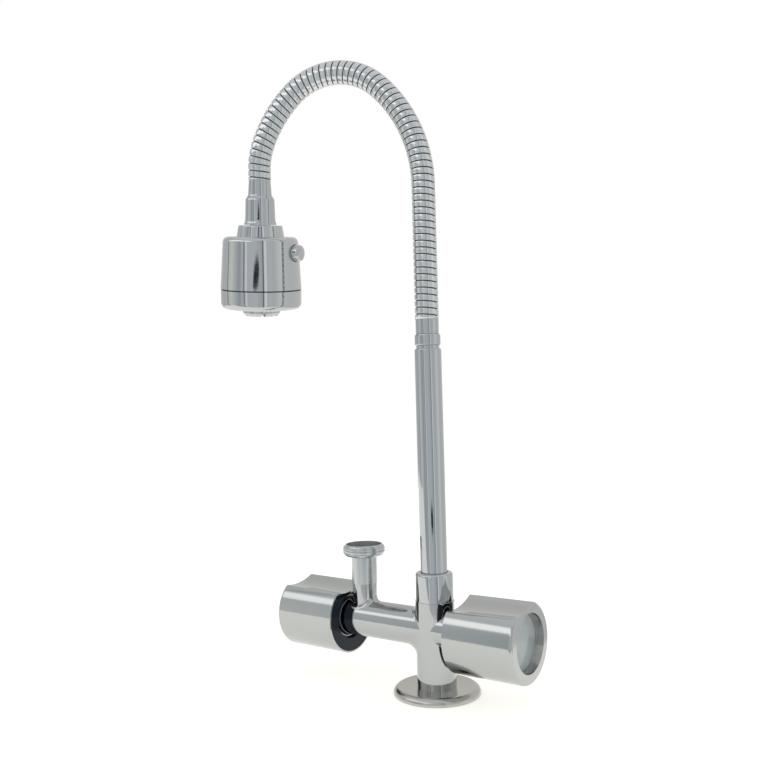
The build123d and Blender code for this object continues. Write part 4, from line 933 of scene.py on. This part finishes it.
# Name, heading, height, half width, half height, softness from 0 to 1, colour.
TENT_MARKS = (
    ("seam on the left", -156, 0, 1.7, 90, 0.5, "#4C5155"),
    ("lamp behind the cloth", -141, 2, 15, 24, 0.9, "#F0EFEC"),
    ("strip of light", -90, 0, 3.4, 90, 0.6, "#FFFFFF"),
    ("fold of the cloth", -97, 0, 2.2, 90, 0.6, "#858C90"),
    ("camera on its stand", -60.5, -7.9, 10, 1.05, 0.15, "#15181C"),
    ("clamp over the camera", -55, 8.2, 3, 1.6, 0.4, "#33383C"),
    ("edge of the opening", -40, 0, 1.8, 90, 0.5, "#5F666A"),
    ("opening", -33, 0, 5.0, 90, 0.5, "#FFFFFF"),
    ("window", 20, 8, 7, 60, 0.7, "#FFFFFF"),
    ("glow round the softbox", -120, 37, 60, 12, 0.9, "#FFFFFF"),
)
CEILING = "#E9EBEC"
CEILING_FROM, CEILING_TO = 42.0, 56.0  # heights between which the cloth turns into the ceiling
print("tent marks:", ", ".join(mark[0] for mark in TENT_MARKS))


# %% Light tent
def mix_colours(tree, share, first, second):
    """Mixes two colours, each a socket or a hex value."""
    node = add_node(tree, "ShaderNodeMix", {"Factor": share}, {"data_type": "RGBA"})
    for socket, colour in ((node.inputs["A"], first), (node.inputs["B"], second)):
        if isinstance(colour, str):
            socket.default_value = linear(colour)
        else:
            tree.links.new(colour, socket)
    return node.outputs["Result"]


def tent_mark(tree, heading, height, mark):
    """How much a direction lies in an oval mark on the tent: 1 inside, 0 outside."""
    at_heading, at_height, half_width, half_height, softness = mark[1:-1]
    across = math_node(tree, "DIVIDE", math_node(tree, "SUBTRACT", heading, at_heading), half_width)
    along = math_node(tree, "DIVIDE", math_node(tree, "SUBTRACT", height, at_height), half_height)
    away = math_node(tree, "SQRT", math_node(
        tree, "ADD", math_node(tree, "MULTIPLY", across, across),
        math_node(tree, "MULTIPLY", along, along)))
    return add_node(tree, "ShaderNodeMapRange", {"Value": away}, {"interpolation_type": "SMOOTHSTEP"},
                    From_Min=1.0, From_Max=1.0 - softness, To_Min=0.0, To_Max=1.0).outputs["Result"]


def light_tent():
    """The tent's brightness by direction."""
    world = bpy.data.worlds.new("light_tent")
    world.use_nodes = True
    tree = world.node_tree
    direction = add_node(tree, "ShaderNodeTexCoord").outputs["Generated"]
    parts = add_node(tree, "ShaderNodeSeparateXYZ", {"Vector": direction}).outputs
    heading = math_node(tree, "DEGREES", math_node(tree, "ARCTAN2", parts["Y"], parts["X"]))
    height = math_node(tree, "DEGREES", math_node(tree, "ARCSINE", parts["Z"]))
    ramp = add_node(tree, "ShaderNodeValToRGB", {
        "Fac": math_node(tree, "DIVIDE", math_node(tree, "ADD", heading, 180.0), 360.0)})
    elements = ramp.color_ramp.elements
    elements[0].color, elements[1].color = linear(TENT_WALLS[0][1]), linear(TENT_WALLS[-1][1])
    for degrees, colour in TENT_WALLS[1:-1]:
        elements.new((degrees + 180) / 360).color = linear(colour)
    cloth = ramp.outputs["Color"]
    for mark in TENT_MARKS:
        cloth = mix_colours(tree, tent_mark(tree, heading, height, mark), cloth, mark[-1])
    up = add_node(tree, "ShaderNodeMapRange", {"Value": height}, {"interpolation_type": "SMOOTHSTEP"},
                  From_Min=CEILING_FROM, From_Max=CEILING_TO, To_Min=0.0, To_Max=1.0).outputs["Result"]
    cloth = mix_colours(tree, up, cloth, CEILING)
    seen = add_node(tree, "ShaderNodeLightPath").outputs["Is Camera Ray"]
    tree.links.new(mix_colours(tree, seen, cloth, "#FFFFFF"), tree.nodes["Background"].inputs["Color"])
    bpy.context.scene.world = world


def softbox(name, heading, height, distance, width, depth, power):
    """A long soft lamp at a heading and height, in degrees, that faces the tap."""
    data = bpy.data.lights.new(name, "AREA")
    data.shape, data.size, data.size_y, data.energy = "RECTANGLE", width, depth, power
    light = bpy.data.objects.new(name, data)
    bpy.context.scene.collection.objects.link(light)
    turn, lift = math.radians(heading), math.radians(height)
    light.location = distance * Vector((
        math.cos(turn) * math.cos(lift), math.sin(turn) * math.cos(lift), math.sin(lift)))
    light.rotation_euler = light.location.to_track_quat("Z", "Y").to_euler()
    light.visible_camera = False


light_tent()
softbox("high_softbox", heading=-118, height=38, distance=1.6, width=2.2, depth=0.4, power=1.75)
bpy.context.scene.view_settings.view_transform = "Standard"
print("tent and softbox lit")
